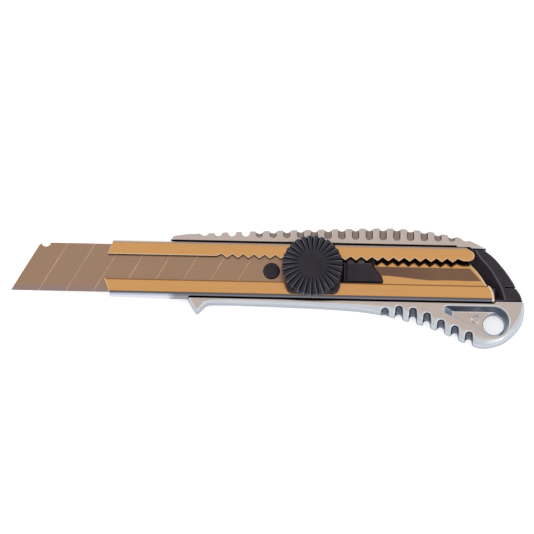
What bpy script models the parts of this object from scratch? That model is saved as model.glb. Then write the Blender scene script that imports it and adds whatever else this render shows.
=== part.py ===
"""Snap-off utility knife: die-cast handle, sheet-steel blade channel and screw lock wheel.

The knife lies on its flat back. +X runs from the blade's tip towards the hanging hole, +Y from
the cutting edge towards the ribbed spine, and +Z out of the front face. The origin is on the
back face, level with the lock wheel.

Sizes are in millimetres. The shape helpers turn them into Blender's metres.
"""
import math

import bmesh
import bpy
from mathutils import Matrix, Vector

MM = 0.001
GAP = 0.3                      # clearance between neighbouring pieces

# Blade: an 18 mm snap-off blade, score lines 10 mm apart at 60 degrees
BLADE_TIP_X = -110.1
BLADE_LENGTH = 100.0
BLADE_HALF_WIDTH = 9.0
BLADE_THICKNESS = 0.5
SCORE_ANGLE = math.radians(60.0)
NOTCH_RADIUS = 1.8
BLADE_HOLE_RADIUS = 3.1
PEG_X = -14.8
PEG_RADIUS = 2.8

# Channel: a C section folded from sheet
SHEET = 0.7
CHANNEL_BACK_Z = 2.8
CHANNEL_FRONT_Z = 7.4
CHANNEL_HALF_WIDTH = 10.0
CHANNEL_MOUTH_X = -76.5
CHANNEL_REAR_X = 67.0
NOSE_X = -45.0                 # the floor starts to rise here
NOSE_RISE = 2.0                # over NOSE_RUN
NOSE_RUN = 30.0
SLOT_LOW_Y = -4.2
SLOT_HIGH_Y = 5.0
RACK_TIP_Y = 4.4
RACK_VALLEY_Y = 5.8
RACK_PITCH = 3.94
RACK_VALLEYS = 23
RACK_FIRST_VALLEY_X = -33.18
FLOOR_Z = CHANNEL_BACK_Z + SHEET
LIP_UNDER_Z = CHANNEL_FRONT_Z - SHEET
REAR_EDGE = [                  # slanted rear edge that the floor and the back wall share
    (66.8, -10.6), (66.4, -6.0), (65.0, -3.4), (62.4, 0.7), (58.2, 5.4), (53.6, 10.6)]

# Handle casting
CASTING_FRONT_Z = 7.8
EDGE_RADIUS = 1.2
WALL_TOP_Z = CHANNEL_BACK_Z - GAP
BAY_HALF_WIDTH = 10.6
TONGUE_X = -70.0
TONGUE_HALF_WIDTH = 9.4
TONGUE_BACK_Z = 3.7
RIB_FIRST_X = -39.7
RIB_PITCH = 5.05
RIB_NOTCHES = 20
SCALLOPS = 4                   # the first notches are plain scallops, the rest are pockets
RIB_NOTCH_RADIUS = 1.35
DIP_DEPTH = 0.65               # of the web between two ribs, below their crest
RIB_POCKET_RADIUS = 1.25
SCALLOP_FLOOR_Y = 12.6
POCKET_FLOOR_Y = 12.2
POCKET_DEPTH = 2.4
FINGER_FIRST_X = 27.0
FINGER_PITCH = 5.13
FINGER_HALF_WIDTH = 1.2
FINGER_TOPS = (-13.0, -12.2, -12.8, -14.5, -17.0, -19.1, -21.2)
FINGER_WEBS = (2.1, 2.6, 2.6, 2.4, 2.2, 2.2, 2.2)   # web left in each notch, below its top
HANG_X, HANG_Y = 67.0, -17.8
HANG_RADIUS = 3.9
RECESS_FLOOR_Z = 4.4
SCREW_XS = (-40.0, -10.0, 20.0)
SCREW_RADIUS = 1.3
SCREW_HEAD_RADIUS = 2.6

# Carriage and lock
AXIS_Y = 0.7                   # the stud's axis is at X 0
BLADE_TOP_Z = LIP_UNDER_Z - GAP
BLADE_UNDER_Z = BLADE_TOP_Z - BLADE_THICKNESS
SLIDER_UNDER_Z = FLOOR_Z + GAP
SLIDER_REAR_X = 23.2
SLIDER_HALF_WIDTH = 8.7
FOOT_TOP_Z = 5.2
FOOT_RADIUS = 3.3
BAR_FRONT_X = 11.2
BAR_TOP_Z = 7.0
STUD_RADIUS = 2.0
STUD_TOP_Z = 14.4
PLATE_UNDER_Z = CHANNEL_FRONT_Z + GAP
PLATE_TOP_Z = 10.9
WASHER_SEAT_Z = 9.6
WHEEL_RADIUS = 11.05
WHEEL_UNDER_Z = 12.0
WHEEL_RIM_Z = 15.3
WHEEL_TOP_Z = 18.4
WHEEL_FLUTES = 28
HUB_UNDER_Z = 11.5
INSERT_RADIUS = 3.3

# End cap
CAP_TOP_Y = 9.5
CAP_LOW_Y = -9.6
CAP_STEP_Z = 3.6
CAP_PRONG_X = 62.4
SLIT_X = 70.5
SLIT_Y = -4.5
SLIT_WIDTH = 0.5


def clear_scene():
    """Remove every object of the open scene."""
    for existing in list(bpy.data.objects):
        bpy.data.objects.remove(existing, do_unlink=True)


clear_scene()
parts = bpy.data.collections.new("utility_knife")
cutters = bpy.data.collections.new("cutters")
bpy.context.scene.collection.children.link(parts)
bpy.context.scene.collection.children.link(cutters)


def make_material(name, color, roughness, metallic):
    """A Principled material from a linear colour."""
    material = bpy.data.materials.new(name)
    material.use_nodes = True
    shader = material.node_tree.nodes["Principled BSDF"]
    shader.inputs["Base Color"].default_value = (*color, 1.0)
    shader.inputs["Roughness"].default_value = roughness
    shader.inputs["Metallic"].default_value = metallic
    return material


CAST_ALUMINIUM = make_material("cast_aluminium", (0.55, 0.54, 0.55), 0.38, 1.0)
GOLD_STEEL = make_material("gold_steel", (0.60, 0.32, 0.12), 0.22, 1.0)
BLADE_STEEL = make_material("blade_steel", (0.35, 0.22, 0.14), 0.3, 1.0)
BRIGHT_STEEL = make_material("bright_steel", (0.6, 0.6, 0.62), 0.28, 1.0)
BRASS = make_material("brass", (0.62, 0.42, 0.14), 0.3, 1.0)
BLACK_PLASTIC = make_material("black_plastic", (0.025, 0.022, 0.028), 0.42, 0.0)


# ---- shape helpers ---------------------------------------------------------------------------

def add_object(name, mesh, collection=cutters):
    """Wrap a mesh in an object; a cutter is hidden from renders and drawn as a wire."""
    item = bpy.data.objects.new(name, mesh)
    collection.objects.link(item)
    if collection == cutters:
        item.hide_render = True
        item.display_type = "WIRE"
    return item


def mesh_from(name, geometry):
    """Turn a bmesh into a mesh."""
    bmesh.ops.recalc_face_normals(geometry, faces=geometry.faces)
    mesh = bpy.data.meshes.new(name)
    geometry.to_mesh(mesh)
    geometry.free()
    return mesh


def box(name, x_span, y_span, z_span):
    """A block between two corners, for cutting or joining."""
    low = Vector((x_span[0], y_span[0], z_span[0])) * MM
    high = Vector((x_span[1], y_span[1], z_span[1])) * MM
    geometry = bmesh.new()
    placed = Matrix.Translation((low + high) / 2) @ Matrix.Diagonal((*(high - low), 1.0))
    bmesh.ops.create_cube(geometry, size=1.0, matrix=placed)
    return add_object(name, mesh_from(name, geometry))


def cylinders(name, centres, radius, z_span, segments=24):
    """Upright cylinders in one mesh, one at each centre, for cutting or joining."""
    geometry = bmesh.new()
    height = z_span[1] - z_span[0]
    for x, y in centres:
        middle = Vector((x, y, z_span[0] + height / 2)) * MM
        bmesh.ops.create_cone(
            geometry, cap_ends=True, segments=segments, radius1=radius * MM,
            radius2=radius * MM, depth=height * MM, matrix=Matrix.Translation(middle))
    return add_object(name, mesh_from(name, geometry))


def outline_solids(name, outlines, z_span, collection=cutters, edge_radius=0.0):
    """Flat closed outlines, extruded between two heights; they must not touch each other."""
    curve = bpy.data.curves.new(name, "CURVE")
    curve.dimensions = "2D"
    curve.fill_mode = "BOTH"
    curve.extrude = ((z_span[1] - z_span[0]) / 2 - edge_radius) * MM
    curve.bevel_depth = edge_radius * MM
    curve.bevel_resolution = 0
    curve.offset = -edge_radius * MM
    for points in outlines:
        spline = curve.splines.new("POLY")
        spline.points.add(len(points) - 1)
        for point, (x, y) in zip(spline.points, points):
            point.co = (x * MM, y * MM, 0.0, 1.0)
        spline.use_cyclic_u = True
    source = bpy.data.objects.new(name + "_curve", curve)
    source.location.z = (z_span[0] + z_span[1]) / 2 * MM
    cutters.objects.link(source)
    bpy.context.view_layer.update()
    evaluated = source.evaluated_get(bpy.context.evaluated_depsgraph_get())
    mesh = bpy.data.meshes.new_from_object(evaluated)
    mesh.transform(source.matrix_world)
    bpy.data.objects.remove(source, do_unlink=True)
    geometry = bmesh.new()
    geometry.from_mesh(mesh)
    bpy.data.meshes.remove(mesh)
    bmesh.ops.remove_doubles(geometry, verts=geometry.verts, dist=1e-6)
    return add_object(name, mesh_from(name, geometry), collection)


def side_solid(name, points, y_span, collection=cutters):
    """An outline in X and Z, extruded along Y."""
    item = outline_solids(name, [points], y_span, collection)
    item.data.transform(Matrix(((1, 0, 0, 0), (0, 0, 1, 0), (0, 1, 0, 0), (0, 0, 0, 1))))
    item.data.flip_normals()
    return item


def turned(name, profile, steps, centre, closed=False):
    """A profile in radius and height, listed down its outer side, turned about an upright axis."""
    mesh = bpy.data.meshes.new(name)
    points = [(radius * MM, 0.0, height * MM) for radius, height in profile]
    edges = [(i, i + 1) for i in range(len(points) - 1)]
    if closed:
        edges.append((len(points) - 1, 0))
    mesh.from_pydata(points, edges, [])
    item = add_object(name, mesh, parts)
    item.location = Vector((*centre, 0.0)) * MM
    screw = item.modifiers.new("turn", "SCREW")
    screw.axis = "Z"
    screw.steps = steps
    screw.render_steps = steps
    screw.use_merge_vertices = True
    screw.merge_threshold = 0.00001
    return item


def ring_profile(inner, outer, low, high):
    """A rectangular section for a washer or a bush."""
    return [(inner, high), (outer, high), (outer, low), (inner, low)]


def combine(item, other, operation="DIFFERENCE", solver="EXACT"):
    """Cut another solid from this one, or join it."""
    modifier = item.modifiers.new(operation.lower(), "BOOLEAN")
    modifier.operation = operation
    modifier.solver = solver
    modifier.object = other


def carve(item, tool):
    """Cut a tool from the casting, whose many shallow faces need the manifold solver."""
    combine(item, tool, solver="MANIFOLD")


def finish(item, material):
    """Give a part its material and smooth round faces."""
    item.data.materials.append(material)
    item.data.shade_smooth()
    item.data.set_sharp_from_angle(angle=math.radians(35.0))
    return item


def arc(x, y, radius, start, end, steps):
    """Points along an arc, angles in degrees."""
    angles = [math.radians(start + (end - start) * i / steps) for i in range(steps + 1)]
    return [(x + radius * math.cos(a), y + radius * math.sin(a)) for a in angles]


def smooth_line(points, steps):
    """A Catmull-Rom line through the points."""
    padded = [points[0], *points, points[-1]]
    line = []
    for a, b, c, d in zip(padded, padded[1:], padded[2:], padded[3:]):
        for i in range(steps):
            t = i / steps
            line.append(tuple(
                0.5 * (2 * q + (r - p) * t + (2 * p - 5 * q + 4 * r - s) * t ** 2
                       + (3 * q - p - 3 * r + s) * t ** 3)
                for p, q, r, s in zip(a, b, c, d)))
    return line + [points[-1]]


def height_at(line, x):
    """The Y of a line of points at X, for a line that runs one way along X."""
    for (x0, y0), (x1, y1) in zip(line, line[1:]):
        if min(x0, x1) <= x <= max(x0, x1):
            return y0 + (y1 - y0) * (x - x0) / (x1 - x0)
    raise ValueError("X lies outside the line")


# ---- outlines that several pieces share ------------------------------------------------------

# Spine's crest from the nose to the tail
SPINE_CREST = [
    (-52.1, 11.2), (-50.9, 12.5), (-46.5, 13.2), (-27.0, 14.5), (-2.0, 15.8), (20.0, 16.8),
    (31.0, 17.0), (42.0, 16.2), (52.0, 14.5), (58.4, 12.7), (64.3, 9.9)]

# Underside of the grip, from the hook at the front to the round rear end
GRIP_HOOK = [(-45.4, -10.8), (-43.1, -14.9), (-42.3, -16.1), (-41.3, -16.2), (-40.5, -15.4)]
GRIP_BELLY = smooth_line(
    [(-38.6, -13.3), (-35.5, -12.8), (-20.0, -12.9), (5.0, -13.5), (21.0, -14.6), (34.5, -17.4),
     (46.0, -20.8), (56.0, -25.1), (61.5, -26.9), (66.0, -26.7), (71.6, -24.4), (76.8, -18.8),
     (78.4, -12.8), (77.9, -9.9)], 2)

# Base plate under the wheel, its corners cut off
PLATE_OUTLINE = [(-9.8, -5.6), (-8.8, -7.8), (-7.4, -8.7), (8.2, -8.7), (9.6, -7.6), (10.4, -5.6),
                 (10.4, 5.6), (9.6, 7.6), (8.2, 8.7), (-7.4, 8.7), (-8.8, 7.8), (-9.8, 5.6)]

# Outer edge of the end cap from the spine's tail down to the grip
CAP_OUTER = [(63.0, CAP_TOP_Y), (66.4, 7.0), (69.1, 4.1), (71.6, 1.0), (73.8, -2.3),
             (75.2, -4.9), (76.6, -7.2), (77.4, CAP_LOW_Y)]
CAP_RIDGE = [(59.9, CAP_TOP_Y), (61.8, 6.6), (64.3, 3.8), (66.4, 1.0), (68.5, -2.6),
             (70.1, -5.9), (71.0, CAP_LOW_Y)]


def rear_edge(low, high, shift=0.0):
    """The slanted rear edge from one Y to a higher one, moved along X."""
    by_y = [(y, x) for x, y in REAR_EDGE]
    middle = [(x, y) for x, y in REAR_EDGE if low < y < high]
    points = [(height_at(by_y, low), low), *middle, (height_at(by_y, high), high)]
    return [(x + shift, y) for x, y in points]


def nose_rise(x):
    """How far the channel's floor has risen at X, towards the mouth."""
    return max(0.0, (NOSE_X - x) / NOSE_RUN * NOSE_RISE)


# ---- handle ----------------------------------------------------------------------------------

def make_handle_casting():
    """One casting: ribbed spine, back wall with a thin tongue, and finger-notched grip."""
    half, tongue = BAY_HALF_WIDTH, TONGUE_HALF_WIDTH
    outline = [(-45.4, -tongue), *GRIP_HOOK, *GRIP_BELLY, *SPINE_CREST[::-1], (-51.5, tongue),
               (TONGUE_X, tongue), (TONGUE_X, -tongue)]
    casting = outline_solids("handle_casting", [outline], (0, CASTING_FRONT_Z), parts, EDGE_RADIUS)

    clear_x = TONGUE_X - 5.0
    bay = side_solid("channel_bay", [
        (clear_x, WALL_TOP_Z + nose_rise(clear_x)), (NOSE_X, WALL_TOP_Z), (53.0, WALL_TOP_Z),
        (53.0, 9.0), (clear_x, 9.0)], (-half, half))
    carve(casting, bay)
    rear_bay = [(52.0, -half), *rear_edge(-half, 8.0, 0.5), (57.2, 10.3), (52.0, 10.3)]
    carve(casting, outline_solids("channel_bay_rear", [rear_bay], (WALL_TOP_Z, 9.0)))
    low, high = CAP_LOW_Y - GAP, CAP_TOP_Y + GAP
    cap_bay = [(90.0, high), (90.0, low), *rear_edge(low, high)]
    carve(casting, outline_solids("cap_bay", [cap_bay], (-1.0, 9.5)))
    slope = TONGUE_BACK_Z / (TONGUE_X - NOSE_X)
    under = side_solid("tongue_underside", [
        (clear_x, slope * (clear_x - NOSE_X)), (NOSE_X - 1.0 / slope, -1.0), (clear_x, -1.0)],
        (-tongue - 0.1, tongue + 0.1))
    carve(casting, under)

    carve(casting, rib_cutter())
    for side in ("front", "back"):
        carve(casting, pocket_cutter(side))
        carve(casting, finger_cutter(side))
    carve(casting, finger_cutter("through"))
    carve(casting, recess_cutter())
    carve(casting, cylinders("hang_hole", [(HANG_X, HANG_Y)], HANG_RADIUS, (-1, 9), 24))
    centres = [(x, 0.0) for x in SCREW_XS]
    carve(casting, cylinders("screw_holes", centres, SCREW_RADIUS + GAP, (-1, 4), 12))
    sink = SCREW_HEAD_RADIUS + GAP
    carve(casting, cylinders("screw_sinks", centres, sink, (-1, 1.0), 16))
    return finish(casting, CAST_ALUMINIUM)


def u_shape(x, low, high, radius, steps=3):
    """A slot with a round lower end, open at the top."""
    return [(x + radius, high), (x - radius, high), *arc(x, low + radius, radius, 180, 360, steps)]


def upside_down_u(x, high, low, radius, steps=3):
    """A slot with a round upper end, open at the bottom."""
    return [(x - radius, low), (x + radius, low), *arc(x, high - radius, radius, 0, 180, steps)]


def rib_cutter():
    """Dips between the spine's ribs: deep scallops at the nose, shallow ones over the pockets."""
    dips = []
    for i in range(RIB_NOTCHES):
        x = RIB_FIRST_X + i * RIB_PITCH
        crest = height_at(SPINE_CREST, x)
        low = SCALLOP_FLOOR_Y if i < SCALLOPS else crest - DIP_DEPTH
        dips.append(u_shape(x, low, 19.0, RIB_NOTCH_RADIUS))
    return outline_solids("rib_dips", dips, (-1, 9))


def pocket_cutter(side):
    """Blind pockets between the ribs, which leave a web in the middle of the spine."""
    pockets = []
    for i in range(SCALLOPS, RIB_NOTCHES - 1):
        x = RIB_FIRST_X + i * RIB_PITCH
        pockets.append(u_shape(x, POCKET_FLOOR_Y, 19.0, RIB_POCKET_RADIUS))
    span = (CASTING_FRONT_Z - POCKET_DEPTH, 9.0) if side == "front" else (-1.0, POCKET_DEPTH)
    return outline_solids("rib_pockets_" + side, pockets, span)


def finger_cutter(side):
    """Finger notches in the grip: open below, with a recessed web above."""
    notches = []
    for i, top in enumerate(FINGER_TOPS):
        x = FINGER_FIRST_X + i * FINGER_PITCH
        high = top - FINGER_WEBS[i] if side == "through" else top
        half_width = FINGER_HALF_WIDTH - 0.15 if side == "through" else FINGER_HALF_WIDTH
        notches.append(upside_down_u(x, high, -30.0, half_width))
    spans = {"through": (-1.0, 9.0), "front": (CASTING_FRONT_Z - POCKET_DEPTH, 9.0),
             "back": (-1.0, POCKET_DEPTH)}
    return outline_solids("finger_notches_" + side, notches, spans[side])


def recess_cutter():
    """Teardrop recess round the hanging hole: two arcs and their common tangents."""
    outline = [*arc(50.0, -13.2, 1.5, 90, 240, 4), *arc(66.9, -17.3, 5.6, 262, 450, 12)]
    return outline_solids("hang_recess", [outline], (RECESS_FLOOR_Z, 9.0))


def make_channel():
    """C-section channel: rising nose, slanted mouth, toothed upper lip and cut-away rear end."""
    mouth, rear = CHANNEL_MOUTH_X, CHANNEL_REAR_X
    shell = side_solid("blade_channel", [
        (mouth, CHANNEL_BACK_Z + nose_rise(mouth)), (NOSE_X, CHANNEL_BACK_Z),
        (rear, CHANNEL_BACK_Z), (rear, CHANNEL_FRONT_Z), (mouth, CHANNEL_FRONT_Z)],
        (-CHANNEL_HALF_WIDTH, CHANNEL_HALF_WIDTH), parts)
    mouth_cut = [(-80, -12), (-73.0, -12), (-76.0, SLOT_LOW_Y), (-75.0, SLOT_HIGH_Y),
                 (-72.3, 12), (-80, 12)]
    combine(shell, outline_solids("mouth_cut", [mouth_cut], (0, 9)))

    inner = CHANNEL_HALF_WIDTH - SHEET
    cavity = side_solid("channel_cavity", [
        (mouth - 1, FLOOR_Z + nose_rise(mouth - 1)), (NOSE_X, FLOOR_Z),
        (rear + 1, FLOOR_Z), (rear + 1, LIP_UNDER_Z), (mouth - 1, LIP_UNDER_Z)], (-inner, inner))
    combine(shell, cavity)

    rack = [(RACK_FIRST_VALLEY_X - RACK_PITCH / 2, SLOT_HIGH_Y)]
    for i in range(RACK_VALLEYS):
        valley = RACK_FIRST_VALLEY_X + i * RACK_PITCH
        rack += [(valley, RACK_VALLEY_Y), (valley + RACK_PITCH / 2, RACK_TIP_Y)]
    rack[-1] = (rack[-1][0], SLOT_HIGH_Y)
    slot = [(-80, SLOT_LOW_Y), (70, SLOT_LOW_Y), (70, SLOT_HIGH_Y), *reversed(rack),
            (-80, SLOT_HIGH_Y)]
    combine(shell, outline_solids("slot", [slot], (LIP_UNDER_Z - 0.1, 9)))

    floor_cut = [*rear_edge(-10.6, 10.6, -GAP), (72, 10.6), (72, -10.6)]
    combine(shell, outline_solids("floor_cut", [floor_cut], (0, LIP_UNDER_Z - 0.2)))
    upper_end = [(54.0, 10.6), (56.8, 9.5), *arc(57.6, 6.9, 1.9, 70, -90, 7), (57.6, 0.0),
                 (72, 0.0), (72, 10.6)]
    combine(shell, outline_solids("upper_lip_end", [upper_end], (LIP_UNDER_Z - 0.3, 9)))
    lower_end = [(65.0, -3.0), (65.0, SLOT_LOW_Y), (66.2, -5.6), (66.8, -7.6), (67.1, -11.0),
                 (72, -11.0), (72, -3.0)]
    combine(shell, outline_solids("lower_lip_end", [lower_end], (LIP_UNDER_Z - 0.3, 9)))
    centres = [(x, 0.0) for x in SCREW_XS]
    combine(shell, cylinders("channel_screw_holes", centres, SCREW_RADIUS + GAP, (0, 5), 12))
    return finish(shell, GOLD_STEEL)


def make_channel_screw(index):
    """Flat-headed screw from the back wall into the channel's floor."""
    x = SCREW_XS[index]
    head_low, head_high = 0.2, 1.0 - GAP
    screw = turned("channel_screw_%d" % (index + 1), [
        (0.0, FLOOR_Z - 0.1), (SCREW_RADIUS - 0.2, FLOOR_Z - 0.1), (SCREW_RADIUS, FLOOR_Z - 0.4),
        (SCREW_RADIUS, head_high), (SCREW_HEAD_RADIUS, head_high), (SCREW_HEAD_RADIUS, head_low),
        (0.0, head_low)], 16, (x, 0.0))
    slot = box("drive_slot_%d" % (index + 1), (x - 3.0, x + 3.0), (-0.3, 0.3), (-1.0, 0.5))
    combine(screw, slot)
    return finish(screw, BRIGHT_STEEL)


# ---- carriage --------------------------------------------------------------------------------

def blade_rear_x(y):
    """X of the blade's slanted rear end."""
    return BLADE_TIP_X + BLADE_LENGTH + (y + BLADE_HALF_WIDTH) / math.tan(SCORE_ANGLE)


def make_blade():
    """Blade with both ends at the score angle, a snap notch and the hole for the peg."""
    lean = 2 * BLADE_HALF_WIDTH / math.tan(SCORE_ANGLE)
    half = BLADE_HALF_WIDTH
    front_top = BLADE_TIP_X + lean
    rear_low = BLADE_TIP_X + BLADE_LENGTH
    notch = arc(front_top + 2.6, half + 0.3, NOTCH_RADIUS, 190, 350, 7)
    outline = [(BLADE_TIP_X, -half), (rear_low, -half), (blade_rear_x(half), half),
               *reversed(notch), (front_top, half)]
    blade = outline_solids("snap_off_blade", [outline], (BLADE_UNDER_Z, BLADE_TOP_Z), parts)
    hole = cylinders("peg_hole", [(PEG_X, 0.0)], BLADE_HOLE_RADIUS, (0, 9), 28)
    combine(blade, hole)
    return finish(blade, BLADE_STEEL)


def make_slider_block():
    """Slider: thin plate with the blade's peg, and a thicker frame round the lock bar."""
    half = SLIDER_HALF_WIDTH
    block = outline_solids("slider_block", [[
        (blade_rear_x(-half) + 0.5, -half), (SLIDER_REAR_X, -half), (SLIDER_REAR_X, half),
        (blade_rear_x(half) + 0.5, half)]], (SLIDER_UNDER_Z, BLADE_TOP_Z), parts)
    plate = box("slider_plate", (-20.5, 4.0), (-half, half), (4.6, BLADE_UNDER_Z - GAP))
    combine(block, plate, "UNION")
    peg = cylinders("blade_peg", [(PEG_X, 0.0)], PEG_RADIUS, (5.0, CHANNEL_FRONT_Z - 0.2), 28)
    combine(block, peg, "UNION")
    clear = FOOT_RADIUS + 0.6
    combine(block, cylinders("stud_window", [(0.0, AXIS_Y)], clear, (0, 9), 28))
    combine(block, box("foot_window", (0.0, 21.6), (-4.2, 4.2), (0, 9)))
    combine(block, box("tooth_window", (9.0, 21.6), (0.0, 6.0), (0, 9)))
    combine(block, box("bar_window", (20.0, 25.0), (-4.2, 6.0), (FOOT_TOP_Z - 0.8, 9)))
    combine(block, box("spring_groove", (-4.0, 20.0), (-7.7, -5.1), (0, 4.7)))
    return finish(block, BLACK_PLASTIC)


def make_drag_spring():
    """Bowed leaf under the slider's lower rail, which makes the unlocked slide drag."""
    arc_points = 8
    upper = []
    lower = []
    for i in range(arc_points + 1):
        t = i / arc_points
        x = -3.4 + 22.8 * t
        z = SLIDER_UNDER_Z + 0.45 * (2 * t - 1) ** 2
        lower.append((x, z))
        upper.append((x, z + 0.2))
    leaf = side_solid("drag_spring", lower + upper[::-1], (-7.4, -5.4), parts)
    return finish(leaf, BRIGHT_STEEL)


def make_base_plate():
    """Plate on the channel's lips, with a neck between them and a seat for the washers."""
    plate = outline_solids("base_plate", [PLATE_OUTLINE], (PLATE_UNDER_Z, PLATE_TOP_Z), parts)
    neck = box("plate_neck", (-7.5, 7.5), (-3.8, 4.0), (LIP_UNDER_Z, PLATE_UNDER_Z + 1.0))
    combine(plate, neck, "UNION")
    centre = [(0.0, AXIS_Y)]
    combine(plate, cylinders("plate_bore", centre, STUD_RADIUS + GAP, (0, 12), 24))
    combine(plate, cylinders("washer_seat", centre, 5.3, (WASHER_SEAT_Z, 12), 24))
    return finish(plate, BLACK_PLASTIC)


def make_washers():
    """Flat washer on the base plate's seat and a split spring washer on top of it."""
    bore = STUD_RADIUS + GAP
    flat = turned("flat_washer", ring_profile(bore, 4.9, WASHER_SEAT_Z + GAP, 10.3), 20,
                  (0, AXIS_Y), closed=True)
    finish(flat, BRIGHT_STEEL)
    spring = turned("spring_washer", ring_profile(bore, 4.3, 10.6, HUB_UNDER_Z - GAP), 20,
                    (0, AXIS_Y), closed=True)
    combine(spring, box("washer_split", (1.5, 5.0), (AXIS_Y - 0.3, AXIS_Y + 0.3), (10, 12)))
    finish(spring, BRIGHT_STEEL)


# ---- lock ------------------------------------------------------------------------------------

def make_lock_bar():
    """Lock bar: foot under the stud, raised tail between the lips, two teeth for the rack."""
    foot = outline_solids("lock_bar", [[
        (1.0, AXIS_Y - FOOT_RADIUS), (21.3, AXIS_Y - FOOT_RADIUS - 1.2), (21.3, 3.9),
        (1.0, AXIS_Y + FOOT_RADIUS), *arc(0.0, AXIS_Y, FOOT_RADIUS, 90, 270, 12)]],
        (SLIDER_UNDER_Z, FOOT_TOP_Z), parts)
    tail = outline_solids("bar_tail", [[
        (BAR_FRONT_X, -3.9), (26.0, -3.9), (26.3, -2.9), (25.8, -1.2), (21.8, 3.9),
        (BAR_FRONT_X, 3.9)]], (FOOT_TOP_Z - 0.5, BAR_TOP_Z))
    combine(foot, tail, "UNION")
    teeth = []
    for valley in (12, 13):
        x = RACK_FIRST_VALLEY_X + valley * RACK_PITCH
        teeth.append([(x - 1.3, 3.5), (x + 1.3, 3.5), (x + 1.3, 4.2), (x, 5.4), (x - 1.3, 4.2)])
    combine(foot, outline_solids("bar_teeth", teeth, (FOOT_TOP_Z - 0.3, BLADE_TOP_Z)), "UNION")
    combine(foot, box("bar_groove", (12.2, 12.9), (-5, 6), (6.5, 9)))
    centre = [(0.0, AXIS_Y)]
    combine(foot, cylinders("foot_bore", centre, STUD_RADIUS + GAP, (0, 9), 24))
    combine(foot, cylinders("stud_head_sink", centre, 2.5 + GAP, (0, 4.6), 24))
    return finish(foot, BLACK_PLASTIC)


def make_lock_stud():
    """Threaded stud with a flat head held in the lock bar's foot."""
    head_z = SLIDER_UNDER_Z + 0.5
    stud = turned("lock_stud", [
        (0.0, STUD_TOP_Z), (STUD_RADIUS - 0.4, STUD_TOP_Z), (STUD_RADIUS, STUD_TOP_Z - 0.4),
        (STUD_RADIUS, head_z), (2.5, head_z), (2.5, SLIDER_UNDER_Z), (0.0, SLIDER_UNDER_Z)],
        20, (0, AXIS_Y))
    return finish(stud, BRIGHT_STEEL)


def make_lock_wheel():
    """Domed wheel with a fluted rim and a blind bore for its threaded insert."""
    bore = INSERT_RADIUS + GAP
    wheel = turned("lock_wheel", [
        (0.0, WHEEL_TOP_Z), (4.4, WHEEL_TOP_Z - 0.1), (7.6, 17.4), (9.9, 16.2),
        (WHEEL_RADIUS, WHEEL_RIM_Z), (WHEEL_RADIUS, WHEEL_UNDER_Z + 0.5),
        (WHEEL_RADIUS - 0.5, WHEEL_UNDER_Z), (6.2, WHEEL_UNDER_Z), (6.2, HUB_UNDER_Z),
        (bore, HUB_UNDER_Z), (bore, 16.4), (0.0, 16.4)], 56, (0, AXIS_Y))
    flutes = []
    for i in range(WHEEL_FLUTES):
        angle = 2 * math.pi * (i + 0.5) / WHEEL_FLUTES
        reach = WHEEL_RADIUS + 0.35
        flutes.append((reach * math.cos(angle), AXIS_Y + reach * math.sin(angle)))
    combine(wheel, cylinders("wheel_flutes", flutes, 0.85, (11, 19), 6))
    return finish(wheel, BLACK_PLASTIC)


def make_wheel_insert():
    """Threaded bush in the wheel's bore."""
    profile = ring_profile(STUD_RADIUS + GAP, INSERT_RADIUS, HUB_UNDER_Z + 0.1, 16.1)
    return finish(turned("wheel_insert", profile, 24, (0, AXIS_Y), closed=True), BRASS)


# ---- end cap ---------------------------------------------------------------------------------

def make_end_cap():
    """Plastic end cap: full-height band outside, low step beside the channel, slit and prong."""
    outline = [*rear_edge(CAP_LOW_Y, CAP_TOP_Y, 0.1), *CAP_OUTER]
    cap = outline_solids("end_cap", [outline], (0.0, CASTING_FRONT_Z), parts)
    step = [(50.0, 12.0), (CAP_RIDGE[0][0] - 1.4, 12.0), *CAP_RIDGE,
            (CAP_RIDGE[-1][0] + 0.6, -12.0), (50.0, -12.0)]
    combine(cap, outline_solids("cap_step", [step], (CAP_STEP_Z, 12.0)))
    prong = box("cap_prong", (CAP_PRONG_X, 72.0), (-9.0, -4.8), (SLIDER_UNDER_Z, BLADE_TOP_Z))
    combine(cap, prong, "UNION")
    slit_sides = (SLIT_Y - SLIT_WIDTH / 2, SLIT_Y + SLIT_WIDTH / 2)
    combine(cap, box("snap_slit", (SLIT_X, 79.0), slit_sides, (2.0, 9.0)))
    return finish(cap, BLACK_PLASTIC)


make_handle_casting()
make_channel()
for number in range(len(SCREW_XS)):
    make_channel_screw(number)
make_blade()
make_slider_block()
make_drag_spring()
make_base_plate()
make_washers()
make_lock_bar()
make_lock_stud()
make_lock_wheel()
make_wheel_insert()
make_end_cap()
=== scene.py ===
"""Looks of a snap-off utility knife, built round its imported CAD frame.

Lengths in the shape formulas are millimetres in the CAD's frame: +X from the blade's tip to the
hanging hole, +Y from the cutting edge to the spine, +Z out of the front face. Solid pieces are
signed distance fields, negative inside, which solid() turns into meshes.
"""
import math

import bmesh
import bpy
import numpy as np
from mathutils import Matrix, Vector


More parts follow.
